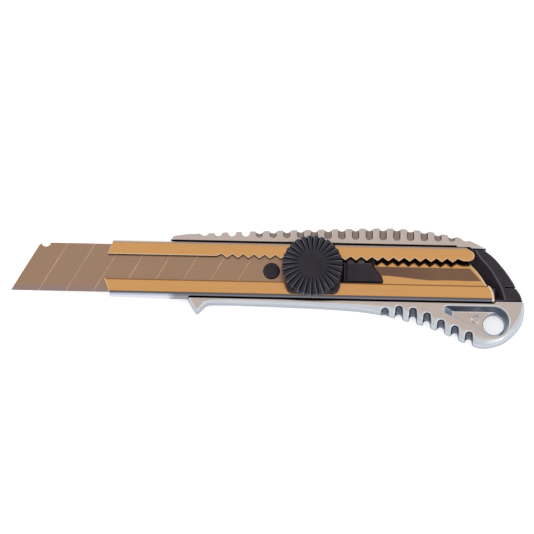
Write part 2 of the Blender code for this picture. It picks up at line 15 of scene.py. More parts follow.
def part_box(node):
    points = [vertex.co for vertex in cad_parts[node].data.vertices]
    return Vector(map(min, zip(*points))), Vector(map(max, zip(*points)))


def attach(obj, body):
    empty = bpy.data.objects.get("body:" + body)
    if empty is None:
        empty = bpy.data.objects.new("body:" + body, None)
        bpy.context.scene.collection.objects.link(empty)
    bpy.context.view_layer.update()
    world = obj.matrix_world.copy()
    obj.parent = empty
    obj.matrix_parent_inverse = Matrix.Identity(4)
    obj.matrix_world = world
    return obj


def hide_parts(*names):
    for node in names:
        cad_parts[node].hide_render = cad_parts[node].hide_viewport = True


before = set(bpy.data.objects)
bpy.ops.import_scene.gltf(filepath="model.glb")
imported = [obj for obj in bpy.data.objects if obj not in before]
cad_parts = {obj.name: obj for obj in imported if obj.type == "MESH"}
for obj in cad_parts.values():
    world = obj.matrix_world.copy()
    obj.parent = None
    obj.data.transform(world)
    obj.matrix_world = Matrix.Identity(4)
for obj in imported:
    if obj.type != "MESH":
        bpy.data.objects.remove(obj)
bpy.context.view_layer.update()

MM = 0.001


def span(node, axis):
    """Lowest and highest place of a CAD node along an axis, in millimetres."""
    low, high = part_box(node)
    return low[axis] / MM, high[axis] / MM


CASTING_FRONT = span("handle_casting", 2)[1]
TONGUE_X = span("handle_casting", 0)[0]
CHANNEL_BACK, CHANNEL_FRONT = span("blade_channel", 2)
CHANNEL_HALF = span("blade_channel", 1)[1]
BLADE_UNDER, BLADE_TOP = span("snap_off_blade", 2)
BLADE_TIP_X = span("snap_off_blade", 0)[0]
BLADE_HALF = span("snap_off_blade", 1)[1]
SLIDER_UNDER = span("slider_block", 2)[0]
SLIDER_REAR_X = span("slider_block", 0)[1]
BAR_REAR_X = span("lock_bar", 0)[1]
BAR_TOP = span("lock_bar", 2)[1]
PLATE_UNDER = CHANNEL_FRONT + 0.3
PLATE_TOP = span("base_plate", 2)[1]
WHEEL_UNDER, WHEEL_TOP = span("lock_wheel", 2)
WHEEL_RADIUS = (span("lock_wheel", 0)[1] - span("lock_wheel", 0)[0]) / 2
AXIS_Y = sum(span("lock_stud", 1)) / 2
CAP_LOW_Y, CAP_TOP_Y = span("end_cap", 1)

SHEET = 0.7
FLOOR = CHANNEL_BACK + SHEET
LIP_UNDER = CHANNEL_FRONT - SHEET
WALL_TOP = CHANNEL_BACK - 0.3
NOSE_X, NOSE_SLOPE = -45.0, 2.0 / 30.0
BAY_HALF = CHANNEL_HALF + 0.6
SLOT_LOW, SLOT_HIGH = -4.2, 5.0
RACK_TIP, RACK_VALLEY = 4.4, 5.8
RACK_PITCH, RACK_VALLEYS, RACK_FIRST_X = 3.94, 23, -33.18
RACK_END_X = RACK_FIRST_X + (RACK_VALLEYS - 0.5) * RACK_PITCH
TAPER_X = 40.0
PEG_X, PEG_RADIUS, BLADE_HOLE = -14.8, 2.8, 3.1
SCREW_XS = (-40.0, -10.0, 20.0)
SCREW_RADIUS, SCREW_HEAD_RADIUS, SCREW_GAP = 1.3, 2.6, 0.3
REAR_EDGE = [(66.8, -10.6), (66.4, -6.0), (65.0, -3.4), (62.4, 0.7), (58.2, 5.4), (53.6, 10.6)]


# ---- signed distance fields ------------------------------------------------------------------

def smooth_max(a, b, k):
    """The larger of two fields, with the edge where they meet rounded over about k."""
    h = np.maximum(k - np.abs(a - b), 0.0) / k
    return np.maximum(a, b) + h * h * k / 4.0


def smooth_min(a, b, k):
    """The smaller of two fields, with a fillet of about k where they meet."""
    return -smooth_max(-a, -b, k)


def cut(body, tool, k=0.35):
    """Body less tool, with rounded edges."""
    return smooth_max(body, -tool, k)


def slab(value, low, high):
    """Between two planes along one axis."""
    return np.maximum(low - value, value - high)


def disc(x, y, cx, cy, radius):
    """An endless upright cylinder."""
    return np.sqrt((x - cx) ** 2 + (y - cy) ** 2) - radius


def outline(x, y, points):
    """Distance to a closed outline in the XY plane."""
    shape = np.broadcast(x, y).shape
    nearest = np.full(shape, 1e9)
    inside = np.zeros(shape, bool)
    for (ax, ay), (bx, by) in zip(points, points[1:] + points[:1]):
        ex, ey = bx - ax, by - ay
        t = np.clip(((x - ax) * ex + (y - ay) * ey) / (ex * ex + ey * ey), 0.0, 1.0)
        nearest = np.minimum(nearest, (x - ax - t * ex) ** 2 + (y - ay - t * ey) ** 2)
        if ay != by:
            inside ^= ((ay > y) != (by > y)) & (x < ax + (y - ay) / (by - ay) * ex)
    return np.where(inside, -1.0, 1.0) * np.sqrt(nearest)


def slot_up(x, y, cx, low, radius):
    """A slot that is open above and round below."""
    return np.sqrt((x - cx) ** 2 + np.minimum(y - low - radius, 0.0) ** 2) - radius


def slot_down(x, y, cx, high, radius):
    """A slot that is open below and round above."""
    return np.sqrt((x - cx) ** 2 + np.maximum(y - high + radius, 0.0) ** 2) - radius


def arc(cx, cy, radius, start, end, steps):
    """Points along an arc, angles in degrees."""
    angles = np.radians(np.linspace(start, end, steps + 1))
    return [(cx + radius * math.cos(a), cy + radius * math.sin(a)) for a in angles]


def smooth_line(points, steps=4):
    """A Catmull-Rom line through the points."""
    padded = [points[0], *points, points[-1]]
    line = []
    for a, b, c, d in zip(padded, padded[1:], padded[2:], padded[3:]):
        for i in range(steps):
            t = i / steps
            line.append(tuple(
                0.5 * (2 * q + (r - p) * t + (2 * p - 5 * q + 4 * r - s) * t ** 2
                       + (3 * q - p - 3 * r + s) * t ** 3)
                for p, q, r, s in zip(a, b, c, d)))
    return line + [points[-1]]


# ---- meshes ----------------------------------------------------------------------------------

def piece(name, mesh, body, materials, nodes=()):
    """An object that rides on a body, with its materials and the CAD nodes that it stands for."""
    item = bpy.data.objects.new(name, mesh)
    bpy.context.scene.collection.objects.link(item)
    for material in materials:
        mesh.materials.append(material)
    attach(item, body)
    if nodes:
        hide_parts(*nodes)
    return item


def surface_nets(values, origin, step):
    """Points and quads of the zero surface of a field sampled on a grid."""
    shape = np.array(values.shape) - 1
    total = np.zeros((*shape, 3))
    count = np.zeros(shape)
    quads = []
    crossings = []
    for axis in range(3):
        u, v = (axis + 1) % 3, (axis + 2) % 3
        low = [slice(None)] * 3
        high = [slice(None)] * 3
        low[axis], high[axis] = slice(0, -1), slice(1, None)
        a, b = values[tuple(low)], values[tuple(high)]
        at = np.argwhere((a < 0) != (b < 0))
        start, stop = a[tuple(at.T)], b[tuple(at.T)]
        place = at.astype(float)
        place[:, axis] += start / (start - stop)
        for du in (0, 1):
            for dv in (0, 1):
                cell = at.copy()
                cell[:, u] -= du
                cell[:, v] -= dv
                np.add.at(total, tuple(cell.T), place)
                np.add.at(count, tuple(cell.T), 1)
        crossings.append((at, u, v, start < 0))
    filled = count > 0
    number = np.full(shape, -1)
    number[filled] = np.arange(filled.sum())
    for at, u, v, outward in crossings:
        corners = []
        for du, dv in ((1, 1), (0, 1), (0, 0), (1, 0)):
            cell = at.copy()
            cell[:, u] -= du
            cell[:, v] -= dv
            corners.append(number[tuple(cell.T)])
        quad = np.stack(corners, axis=1)
        quads.append(np.where(outward[:, None], quad, quad[:, ::-1]))
    points = total[filled] / count[filled][:, None] * step + origin
    return points, np.concatenate(quads)


def solid(name, field, low, high, step, relax=2):
    """Mesh of the surface where the field is zero, inside a box, in millimetres."""
    step = np.array(step, float)
    origin = np.array(low, float) - 1.5 * step
    sizes = np.ceil((np.array(high) - origin) / step).astype(int) + 2
    axes = [origin[i] + step[i] * np.arange(sizes[i]) for i in range(3)]
    values = np.broadcast_to(
        field(axes[0][:, None, None], axes[1][None, :, None], axes[2][None, None, :]), sizes)
    points, quads = surface_nets(values, origin, step)
    probe = 0.02
    for _ in range(relax):
        x, y, z = points.T
        here = field(x, y, z)
        slope = np.stack([
            field(x + probe, y, z) - field(x - probe, y, z),
            field(x, y + probe, z) - field(x, y - probe, z),
            field(x, y, z + probe) - field(x, y, z - probe)], axis=1) / (2 * probe)
        size = np.maximum((slope ** 2).sum(axis=1), 0.25)
        move = -here[:, None] * slope / size[:, None]
        points = points + np.clip(move, -step * 0.5, step * 0.5)
    mesh = bpy.data.meshes.new(name)
    mesh.from_pydata((points * MM).tolist(), [], quads.tolist())
    mesh.shade_smooth()
    return mesh


def places(mesh):
    """X, Y and Z of a mesh's points, in millimetres."""
    flat = np.empty(3 * len(mesh.vertices))
    mesh.vertices.foreach_get("co", flat)
    return flat.reshape(-1, 3).T / MM


def mark(mesh, name, values):
    """Give every point of a mesh a number that its material reads."""
    mesh.attributes.new(name, "FLOAT", "POINT").data.foreach_set("value", values)


# ---- materials -------------------------------------------------------------------------------

class Paint:
    """A Principled material that grows node by node."""

    def __init__(self, name, color, roughness, metallic):
        self.material = bpy.data.materials.new(name)
        self.material.use_nodes = True
        self.tree = self.material.node_tree
        self.shader = self.tree.nodes["Principled BSDF"]
        self.shader.inputs["Base Color"].default_value = (*color, 1.0)
        self.shader.inputs["Roughness"].default_value = roughness
        self.shader.inputs["Metallic"].default_value = metallic
        self.place = self.tree.nodes.new("ShaderNodeTexCoord").outputs["Object"]

    def node(self, kind, **sockets):
        """A node with its sockets set or linked; an underscore in a name stands for a space."""
        made = self.tree.nodes.new(kind)
        for key, value in sockets.items():
            socket = made.inputs[int(key[1:])] if key[0] == "i" and key[1:].isdigit() \
                else made.inputs[key.replace("_", " ")]
            if isinstance(value, bpy.types.NodeSocket):
                self.tree.links.new(value, socket)
            else:
                socket.default_value = value
        return made

    def math(self, operation, first, second=0.0, clamp=False):
        made = self.node("ShaderNodeMath", i0=first, i1=second)
        made.operation = operation
        made.use_clamp = clamp
        return made.outputs[0]

    def stretched(self, scale):
        """Object coordinates, scaled along each axis; one unit is a metre over the scale."""
        return self.node("ShaderNodeMapping", Vector=self.place, Scale=scale).outputs[0]

    def noise(self, scale, detail=3.0, roughness=0.5, stretch=(1.0, 1.0, 1.0)):
        made = self.node("ShaderNodeTexNoise", Vector=self.stretched(stretch), Scale=scale,
                         Detail=detail, Roughness=roughness)
        return made.outputs[0]

    def axis(self, index):
        """X, Y or Z of the place, in millimetres."""
        parts = self.node("ShaderNodeSeparateXYZ", Vector=self.place)
        return self.math("MULTIPLY", parts.outputs[index], 1000.0)

    def attribute(self, name):
        """A number that the mesh holds at its points."""
        made = self.tree.nodes.new("ShaderNodeAttribute")
        made.attribute_name = name
        return made.outputs["Fac"]

    def facing(self, index):
        """How far the surface faces along an axis of the object, from -1 to 1."""
        normal = self.tree.nodes.new("ShaderNodeTexCoord").outputs["Normal"]
        return self.node("ShaderNodeSeparateXYZ", Vector=normal).outputs[index]

    def ramp(self, value, low, high, start=0.0, end=1.0):
        """A value mapped from one range to another, clamped."""
        return self.node("ShaderNodeMapRange", Value=value, From_Min=low, From_Max=high,
                         To_Min=start, To_Max=end).outputs[0]

    def mix(self, factor, first, second):
        """A blend of two colours."""
        made = self.tree.nodes.new("ShaderNodeMix")
        made.data_type = "RGBA"
        for socket, value in ((made.inputs[0], factor), (made.inputs[6], first),
                              (made.inputs[7], second)):
            if isinstance(value, bpy.types.NodeSocket):
                self.tree.links.new(value, socket)
            else:
                socket.default_value = (*value, 1.0) if isinstance(value, tuple) else value
        return made.outputs[2]

    def color(self, socket):
        self.tree.links.new(socket, self.shader.inputs["Base Color"])

    def roughness(self, socket):
        self.tree.links.new(socket, self.shader.inputs["Roughness"])

    def bump(self, height, distance, strength=1.0):
        made = self.node("ShaderNodeBump", Height=height, Distance=distance * MM,
                         Strength=strength)
        self.tree.links.new(made.outputs[0], self.shader.inputs["Normal"])


def aluminium():
    """Blasted die casting. Its colour holds painted light: warm flats and cool rounded edges are a
    painted reflection; the darker steep sides, the brown webs in the spine's pockets, the dark
    recess, hole and notch walls and the dark blade bay are painted shade.
    """
    paint = Paint("cast_aluminium", (0.58, 0.58, 0.58), 0.34, 1.0)
    y, z = paint.axis(1), paint.axis(2)
    on_spine = paint.ramp(y, 10.4, 10.9)
    # Painted reflection: faces that look straight out, and all of the spine, get a warm colour, and
    # the rounded edges a cool one.
    flat = paint.math("MAXIMUM", paint.ramp(paint.facing(2), 0.95, 0.995), on_spine)
    cloud = paint.noise(120.0, 4.0)
    cool = paint.mix(cloud, (0.60, 0.61, 0.63), (0.50, 0.515, 0.545))
    # Painted shade: the cool colour turns a darker blue-grey as the surface turns towards the side.
    cool = paint.mix(paint.ramp(paint.facing(2), 0.7, 0.05), cool, (0.30, 0.32, 0.37))
    warm = paint.mix(cloud, (0.515, 0.435, 0.395), (0.465, 0.395, 0.36))
    base = paint.mix(flat, cool, warm)
    front = paint.math("GREATER_THAN", z, CASTING_FRONT / 2)
    deep = paint.ramp(z, CASTING_FRONT - 0.4, CASTING_FRONT - 1.9)
    recessed = paint.math("MULTIPLY", front, deep)
    spine = paint.math("GREATER_THAN", y, 11.6)
    # Painted shade: faces sunk deep in the spine's pockets, the webs among them, are darkened to
    # brown.
    base = paint.mix(paint.math("MULTIPLY", paint.math("MULTIPLY", recessed, spine), 0.72),
                     base, (0.16, 0.115, 0.095))
    # Painted shade: the steep walls of the recess and the hanging hole are darkened blue-grey.
    steep = paint.ramp(paint.facing(2), 0.9, 0.6)
    walls = paint.math("MULTIPLY", paint.attribute("recess"), steep)
    base = paint.mix(paint.math("MULTIPLY", walls, 0.75), base, (0.20, 0.225, 0.30))
    # Painted shade: the finger notches and the webs in them are darkened blue-grey.
    base = paint.mix(paint.math("MULTIPLY", paint.attribute("notch"), 0.88), base,
                     (0.068, 0.078, 0.115))
    # Painted shade: the casting's faces down in the bay beside the channel are near black.
    beside = paint.ramp(paint.math("ABSOLUTE", y), BAY_HALF + 0.32, BAY_HALF + 0.16)
    bay = paint.math("MULTIPLY", beside, front_wall(paint))
    paint.color(paint.mix(bay, base, (0.012, 0.010, 0.012)))
    grain = paint.noise(2600.0, 3.0, 0.6)
    paint.roughness(paint.ramp(grain, 0.3, 0.7, 0.28, 0.42))
    floor = paint.math("MULTIPLY", paint.ramp(paint.facing(2), 0.75, 0.95), recessed)
    strength = paint.ramp(floor, 0.0, 1.0, 0.010, 0.055)
    paint.bump(paint.math("MULTIPLY", paint.noise(1500.0, 4.0, 0.7), strength), 1.0)
    return paint.material


def front_wall(paint):
    """Mask of the bay that the channel lies in: behind the casting's nose, above its back wall."""
    behind = paint.math("GREATER_THAN", paint.axis(0), NOSE_X - 6.8)
    above = paint.math("GREATER_THAN", paint.axis(2), WALL_TOP - 0.25)
    rear = paint.ramp(paint.axis(1), -1.0, 1.0, 66.8, 53.0)
    before = paint.math("LESS_THAN", paint.axis(0), rear)
    return paint.math("MULTIPLY", paint.math("MULTIPLY", behind, above), before)


def gold_steel():
    """Sheet with a gold tint on its flats and fine rolling lines. Its colour holds painted light:
    the colours that the bends and side walls get by the way they face are painted reflection and
    painted shade, the dark band on the floor is a painted reflection, and the dark lip edge, lip
    undersides and low side walls in the bay are painted shade.
    """
    paint = Paint("gold_steel", (0.6, 0.31, 0.12), 0.2, 1.0)
    streak = paint.noise(700.0, 4.0, 0.6, stretch=(0.03, 1.0, 1.0))
    cloud = paint.noise(45.0, 2.0, stretch=(0.4, 1.0, 1.0))
    gold = paint.mix(streak, (0.62, 0.325, 0.115), (0.53, 0.285, 0.12))
    gold = paint.mix(paint.ramp(cloud, 0.55, 0.8, 0.0, 0.35), gold, (0.68, 0.37, 0.12))
    # Painted reflection: a dark brownish band along the channel's floor, paler towards the rear and
    # with paler patches.
    band_patches = paint.noise(90.0, 3.0, stretch=(1.0, 0.25, 1.0))
    dark_reflection = paint.mix(paint.ramp(paint.axis(0), 33.0, 46.0), (0.100, 0.056, 0.050),
                     (0.150, 0.084, 0.062))
    dark_reflection = paint.mix(paint.ramp(band_patches, 0.45, 0.75, 0.0, 0.5), dark_reflection, (0.19, 0.105, 0.075))
    gold = paint.mix(painted_reflection_band(paint), gold, dark_reflection)
    # Painted reflection and shade: surfaces turning towards +Y get greyer, and the upper side wall
    # is pale in front of the casting's nose and dark inside its bay.
    bay_shade_mask = paint.ramp(paint.axis(0), NOSE_X - 8.0, NOSE_X - 5.0)
    gold = paint.mix(paint.ramp(paint.facing(1), 0.08, 0.2), gold, (0.40, 0.28, 0.20))
    top_side = paint.mix(bay_shade_mask, (0.72, 0.62, 0.55), (0.34, 0.24, 0.18))
    gold = paint.mix(paint.ramp(paint.facing(1), 0.35, 0.5), gold, top_side)
    # Painted shade and reflection: a dark line where the bend turns towards -Y, then a silvery
    # lower side wall, pale in front of the casting's nose and dark inside its bay.
    bend_shade_line = paint.ramp(paint.facing(1), -0.14, -0.24)
    gold = paint.mix(bend_shade_line, gold, (0.11, 0.10, 0.10))
    low_side = paint.ramp(paint.facing(1), -0.42, -0.60)
    side = paint.mix(bay_shade_mask, (0.55, 0.56, 0.62), (0.24, 0.225, 0.26))
    gold = paint.mix(low_side, gold, side)
    # Painted shade: a dark line on the top of the lower lip along its free edge.
    on_lip = paint.math("GREATER_THAN", paint.axis(2), LIP_UNDER + 0.3)
    lip_edge_shade = paint.math("MULTIPLY", on_lip, paint.ramp(
        paint.math("ABSOLUTE", paint.math("SUBTRACT", paint.axis(1), SLOT_LOW - 0.1)), 0.42, 0.3))
    gold = paint.mix(paint.math("MULTIPLY", lip_edge_shade, 0.85), gold, (0.20, 0.085, 0.033))
    # Painted shade: the lips' undersides are near black, so their reflection in the floor shows
    # dark.
    under = paint.math("MULTIPLY", paint.math("LESS_THAN", paint.facing(2), -0.6),
                       paint.math("GREATER_THAN", paint.axis(2), LIP_UNDER - 0.4))
    gold = paint.mix(under, gold, (0.045, 0.022, 0.022))
    # Painted shade: the lower part of the side walls, down in the casting's bay, is near black.
    gap_shade = paint.math("MULTIPLY", paint.ramp(paint.axis(2), 6.2, 5.7), front_wall(paint))
    outside = paint.math("GREATER_THAN", paint.math("ABSOLUTE", paint.axis(1)),
                         CHANNEL_HALF - 0.5)
    gold = paint.mix(paint.math("MULTIPLY", gap_shade, outside), gold, (0.02, 0.016, 0.018))
    paint.color(gold)
    smooth = paint.ramp(paint.axis(2), FLOOR + 0.3, FLOOR + 0.1)
    rough = paint.ramp(streak, 0.3, 0.7, 0.16, 0.27)
    paint.roughness(paint.math("MULTIPLY", rough, paint.ramp(smooth, 0.0, 1.0, 1.0, 0.55)))
    paint.bump(streak, 0.008)
    return paint.material


def painted_reflection_band(paint):
    """Mask of the dark strip along the channel's floor that is a painted reflection."""
    x, y = paint.axis(0), paint.axis(1)
    on_floor = paint.math("LESS_THAN", paint.axis(2), FLOOR + 0.25)
    wander = paint.noise(28.0, 2.0, stretch=(1.0, 0.05, 0.05))
    drift = paint.math("MULTIPLY", paint.math("SUBTRACT", wander, 0.5), 1.6)
    sink = paint.ramp(x, 28.0, 44.0, 0.0, 1.5)
    low = paint.math("SUBTRACT", paint.math("ADD", drift, -0.1), sink)
    above = paint.ramp(paint.math("SUBTRACT", y, low), -0.12, 0.12)
    below = paint.ramp(y, 3.4, 3.15)
    slant = paint.math("ADD", x, paint.math("MULTIPLY", y, 0.9))
    start = paint.ramp(slant, 61.5, 60.9)
    band = paint.math("MULTIPLY", paint.math("MULTIPLY", above, below), start)
    return paint.math("MULTIPLY", paint.math("MULTIPLY", band, on_floor), 0.92)


def edge_metal_and_highlight():
    """Sheared edge of the sheet in pale bare metal; on the narrow strips of the top face beside the
    edges the same pale colour is a painted highlight.
    """
    paint = Paint("sheared_edge_and_highlight", (0.70, 0.56, 0.39), 0.3, 1.0)
    paint.color(paint.mix(paint.noise(400.0, 3.0), (0.60, 0.44, 0.27), (0.82, 0.70, 0.54)))
    paint.roughness(paint.ramp(paint.noise(1200.0, 2.0), 0.3, 0.7, 0.24, 0.4))
    paint.bump(paint.noise(900.0, 3.0, stretch=(1.0, 1.0, 0.2)), 0.02)
    return paint.material


def blade_steel():
    """Ground blade with a bronze tint, greyer along its bevel."""
    paint = Paint("blade_steel", (0.36, 0.22, 0.14), 0.3, 1.0)
    grind = paint.noise(900.0, 4.0, 0.6, stretch=(0.04, 1.0, 1.0))
    cloud = paint.noise(30.0, 3.0)
    tint = paint.mix(grind, (0.35, 0.212, 0.135), (0.305, 0.187, 0.125))
    tint = paint.mix(paint.ramp(cloud, 0.35, 0.75, 0.0, 0.5), tint, (0.31, 0.215, 0.165))
    bevel = paint.ramp(paint.axis(1), -BLADE_HALF + 3.0, -BLADE_HALF + 0.6)
    paint.color(paint.mix(paint.math("MULTIPLY", bevel, 0.8), tint, (0.27, 0.205, 0.205)))
    paint.roughness(paint.ramp(grind, 0.3, 0.7, 0.24, 0.36))
    paint.bump(grind, 0.006)
    return paint.material


def score_steel():
    """Bright wall of a score line."""
    paint = Paint("score_line", (0.58, 0.38, 0.24), 0.35, 1.0)
    paler_tone = paint.ramp(paint.noise(260.0, 2.0), 0.35, 0.65)
    paint.color(paint.mix(paler_tone, (0.45, 0.29, 0.185), (0.66, 0.45, 0.30)))
    paint.roughness(paint.ramp(paint.noise(800.0), 0.3, 0.7, 0.28, 0.45))
    return paint.material


def bright_steel():
    """Plated steel of the fasteners, washers and spring."""
    paint = Paint("bright_steel", (0.6, 0.6, 0.62), 0.3, 1.0)
    haze = paint.noise(600.0, 3.0, 0.6)
    paint.color(paint.mix(haze, (0.62, 0.62, 0.64), (0.50, 0.51, 0.55)))
    paint.roughness(paint.ramp(haze, 0.3, 0.7, 0.22, 0.38))
    paint.bump(paint.noise(1800.0, 2.0), 0.008)
    return paint.material


def brass():
    """Turned brass of the wheel's threaded insert."""
    paint = Paint("brass", (0.62, 0.42, 0.14), 0.28, 1.0)
    rings = paint.noise(1400.0, 2.0, 0.5, stretch=(0.2, 0.2, 1.0))
    paint.color(paint.mix(rings, (0.66, 0.45, 0.16), (0.52, 0.34, 0.11)))
    paint.roughness(paint.ramp(rings, 0.3, 0.7, 0.22, 0.36))
    paint.bump(rings, 0.01)
    return paint.material


def black_plastic(name, color, roughness, grain, edge_highlight):
    """Moulded black plastic with a spark-eroded grain, paler along sharp edges and marked lines as
    a painted highlight.
    """
    paint = Paint(name, color, roughness, 0.0)
    cloud = paint.noise(250.0, 3.0)
    # Painted highlight: sharp edges and the marked lines are mixed towards a paler colour.
    painted_highlight = paint.ramp(paint.tree.nodes.new("ShaderNodeNewGeometry").outputs["Pointiness"],
                        0.515, 0.58)
    paint.shader.inputs["Specular IOR Level"].default_value = 0.22
    lighter = tuple(c * 1.6 + 0.002 for c in color)
    paler_tone = tuple(c * 6.0 + 0.06 for c in color)
    tone = paint.mix(paint.ramp(cloud, 0.3, 0.75), color, lighter)
    painted_highlight = paint.math("MAXIMUM", paint.math("MULTIPLY", painted_highlight, edge_highlight),
                        paint.attribute("painted_highlight"))
    paint.color(paint.mix(painted_highlight, tone, paler_tone))
    sheen = paint.ramp(paint.noise(500.0, 2.0), 0.3, 0.7, roughness - 0.06, roughness + 0.08)
    paint.roughness(sheen)
    paint.bump(paint.noise(3200.0, 2.0, 0.6), grain)
    return paint.material


ALUMINIUM = aluminium()
GOLD = gold_steel()
BRIGHT_EDGE = edge_metal_and_highlight()
BLADE_STEEL = blade_steel()
SCORE_STEEL = score_steel()
BRIGHT_STEEL = bright_steel()
BRASS = brass()
WHEEL_PLASTIC = black_plastic("wheel_plastic", (0.012, 0.010, 0.015), 0.33, 0.006, 0.0)
BLOCK_PLASTIC = black_plastic("block_plastic", (0.016, 0.011, 0.015), 0.44, 0.012, 0.6)
CAP_PLASTIC = black_plastic("cap_plastic", (0.019, 0.014, 0.019), 0.40, 0.008, 0.6)


# ---- handle casting --------------------------------------------------------------------------

SPINE_CREST = [
    (-52.1, 11.2), (-50.9, 12.5), (-46.5, 13.2), (-27.0, 14.5), (-2.0, 15.8), (20.0, 16.8),
    (31.0, 17.0), (42.0, 16.2), (52.0, 14.5), (58.4, 12.7), (64.3, 9.9)]
GRIP_HOOK = smooth_line(
    [(-45.4, -10.8), (-43.1, -14.9), (-42.3, -16.1), (-41.3, -16.2), (-40.5, -15.4)], 3)
GRIP_BELLY = smooth_line([
    (-38.6, -13.3), (-35.5, -12.8), (-20.0, -12.9), (5.0, -13.5), (21.0, -14.6), (34.5, -17.4),
    (46.0, -20.8), (56.0, -25.1), (61.5, -26.9), (66.0, -26.7), (71.6, -24.4), (76.8, -18.8),
    (78.4, -12.8), (77.9, -9.9)], 5)
GRIP_FLAT = [
    (-90, -9), (-46, -9), (-44.7, -11.0), (-43.0, -14.2), (-42.0, -15.2), (-41.0, -13.9),
    (-39.2, -12.0), (-36.0, -11.2), (-29.8, -10.9), (-18.0, -11.0), (32.5, -11.6), (40.0, -13.2),
    (47.3, -15.6), (57.6, -19.7), (64.5, -22.4), (69.0, -22.2), (73.0, -19.0), (75.8, -14.5),
    (77.0, -10.7), (82, -9), (90, 30), (-90, 30)]
GRIP_ROUNDING = 3.5            # how far the front drops from the flat to the lower edge
RIB_FIRST_X, RIB_PITCH, RIB_NOTCHES, SCALLOPS = -39.7, 5.05, 20, 4
RIB_NOTCH_RADIUS, RIB_POCKET_RADIUS, DIP_DEPTH = 1.35, 1.25, 0.65
SCALLOP_FLOOR_Y, POCKET_FLOOR_Y, POCKET_DEPTH = 12.6, 12.2, 2.4
FINGER_FIRST_X, FINGER_PITCH, FINGER_HALF = 27.0, 5.13, 1.2
FINGER_TOPS = np.array((-13.0, -12.2, -12.8, -14.5, -17.0, -19.1, -21.2))
FINGER_WEBS = np.array((2.1, 2.6, 2.6, 2.4, 2.2, 2.2, 2.2))
HANG_X, HANG_Y, HANG_RADIUS = 67.0, -17.8, 3.9
RECESS_FLOOR = 4.4
RECESS_RIM = [*arc(50.0, -13.2, 1.5, 90, 240, 8), *arc(66.9, -17.3, 5.6, 262, 450, 20)]


def rear_edge(x, y):
    """Distance past the slanted rear edge that the channel's floor and the back wall share."""
    return outline(x, y, [(-300.0, -60.0), (66.8, -60.0), *REAR_EDGE, (53.6, 60.0), (-300.0, 60.0)])


def nose_rise(x):
    """How far the channel's floor has risen at X, towards the mouth."""
    return np.maximum(0.0, (NOSE_X - x) * NOSE_SLOPE)


def casting_field(x, y, z):
    """The die casting: spine, back wall with its tongue, and grip."""
    middle = CASTING_FRONT / 2
    rim = [(-45.4, -9.4), *GRIP_HOOK, *GRIP_BELLY, *SPINE_CREST[::-1], (-51.5, 9.4),
           (TONGUE_X, 9.4), (TONGUE_X, -9.4)]
    side = outline(x, y, rim)
    past_flat = np.maximum(outline(x, y, GRIP_FLAT), 0.0)
    share = np.clip(-side, 0.0, None) / (np.clip(-side, 0.0, None) + past_flat + 1e-6)
    drop = GRIP_ROUNDING * (1.0 - np.sqrt(np.clip(1.0 - (1.0 - share) ** 2, 0.0, 1.0)))
    drop = np.where(past_flat > 0, drop, 0.0)
    steep = 1.0 + 1.2 * np.clip(past_flat, 0.0, 1.0)
    faces = (np.abs(z - middle) - middle + drop) / steep
    body = smooth_max(side, faces, 1.3)

    bay_floor = WALL_TOP + nose_rise(x)
    bay = np.maximum(np.maximum(np.abs(y) - BAY_HALF, bay_floor - z), x - 53.0)
    rear_bay = np.maximum(np.maximum(WALL_TOP - z, slab(y, -BAY_HALF, 10.3)),
                          np.maximum(slab(x, 51.0, 67.3), rear_edge(x, y) - 3.0))
    body = cut(body, np.minimum(bay, rear_bay), 0.3)
    cap_bay = np.maximum(-rear_edge(x, y), slab(y, CAP_LOW_Y - 0.3, CAP_TOP_Y + 0.3))
    body = cut(body, cap_bay, 0.3)
    tongue_back = (NOSE_X - x) * 3.7 / 25.0
    body = smooth_max(body, tongue_back - z, 0.4)

    body = cut(body, rib_dips(x, y), 0.5)
    front, back = z - (CASTING_FRONT - POCKET_DEPTH), POCKET_DEPTH - z
    blind = -np.maximum(front, back)
    body = cut(body, smooth_max(rib_pockets(x, y), blind, 0.5), 0.4)
    body = cut(body, smooth_max(finger_notches(x, y, 0.0), blind, 0.6), 0.5)
    body = cut(body, finger_notches(x, y, 1.0), 1.0)
    body = cut(body, recess(x, y, z), 0.5)
    body = smooth_min(body, np.maximum(disc(x, y, 60.3, -16.2, 1.45),
                                       np.abs(z - RECESS_FLOOR) - 0.3), 0.1)
    body = cut(body, disc(x, y, HANG_X, HANG_Y, HANG_RADIUS), 0.5)
    for cx in SCREW_XS:
        hole = np.minimum(disc(x, y, cx, 0.0, SCREW_RADIUS + SCREW_GAP),
                          np.maximum(disc(x, y, cx, 0.0, SCREW_HEAD_RADIUS + SCREW_GAP), z - 1.0))
        body = cut(body, np.maximum(hole, z - 4.0), 0.25)
    return body


def rib_dips(x, y):
    """Dips between the spine's ribs: deep scallops at the nose, shallow ones further back."""
    crest = np.array(SPINE_CREST)
    number = np.clip(np.round((x - RIB_FIRST_X) / RIB_PITCH), 0, RIB_NOTCHES - 1)
    cx = RIB_FIRST_X + number * RIB_PITCH
    top = np.interp(cx, crest[:, 0], crest[:, 1])
    low = np.where(number < SCALLOPS, SCALLOP_FLOOR_Y, top - DIP_DEPTH)
    return slot_up(x, y, cx, low, RIB_NOTCH_RADIUS)


def rib_pockets(x, y):
    """Blind pockets between the ribs, which leave a web in the middle."""
    number = np.clip(np.round((x - RIB_FIRST_X) / RIB_PITCH), SCALLOPS, RIB_NOTCHES - 2)
    return slot_up(x, y, RIB_FIRST_X + number * RIB_PITCH, POCKET_FLOOR_Y, RIB_POCKET_RADIUS)


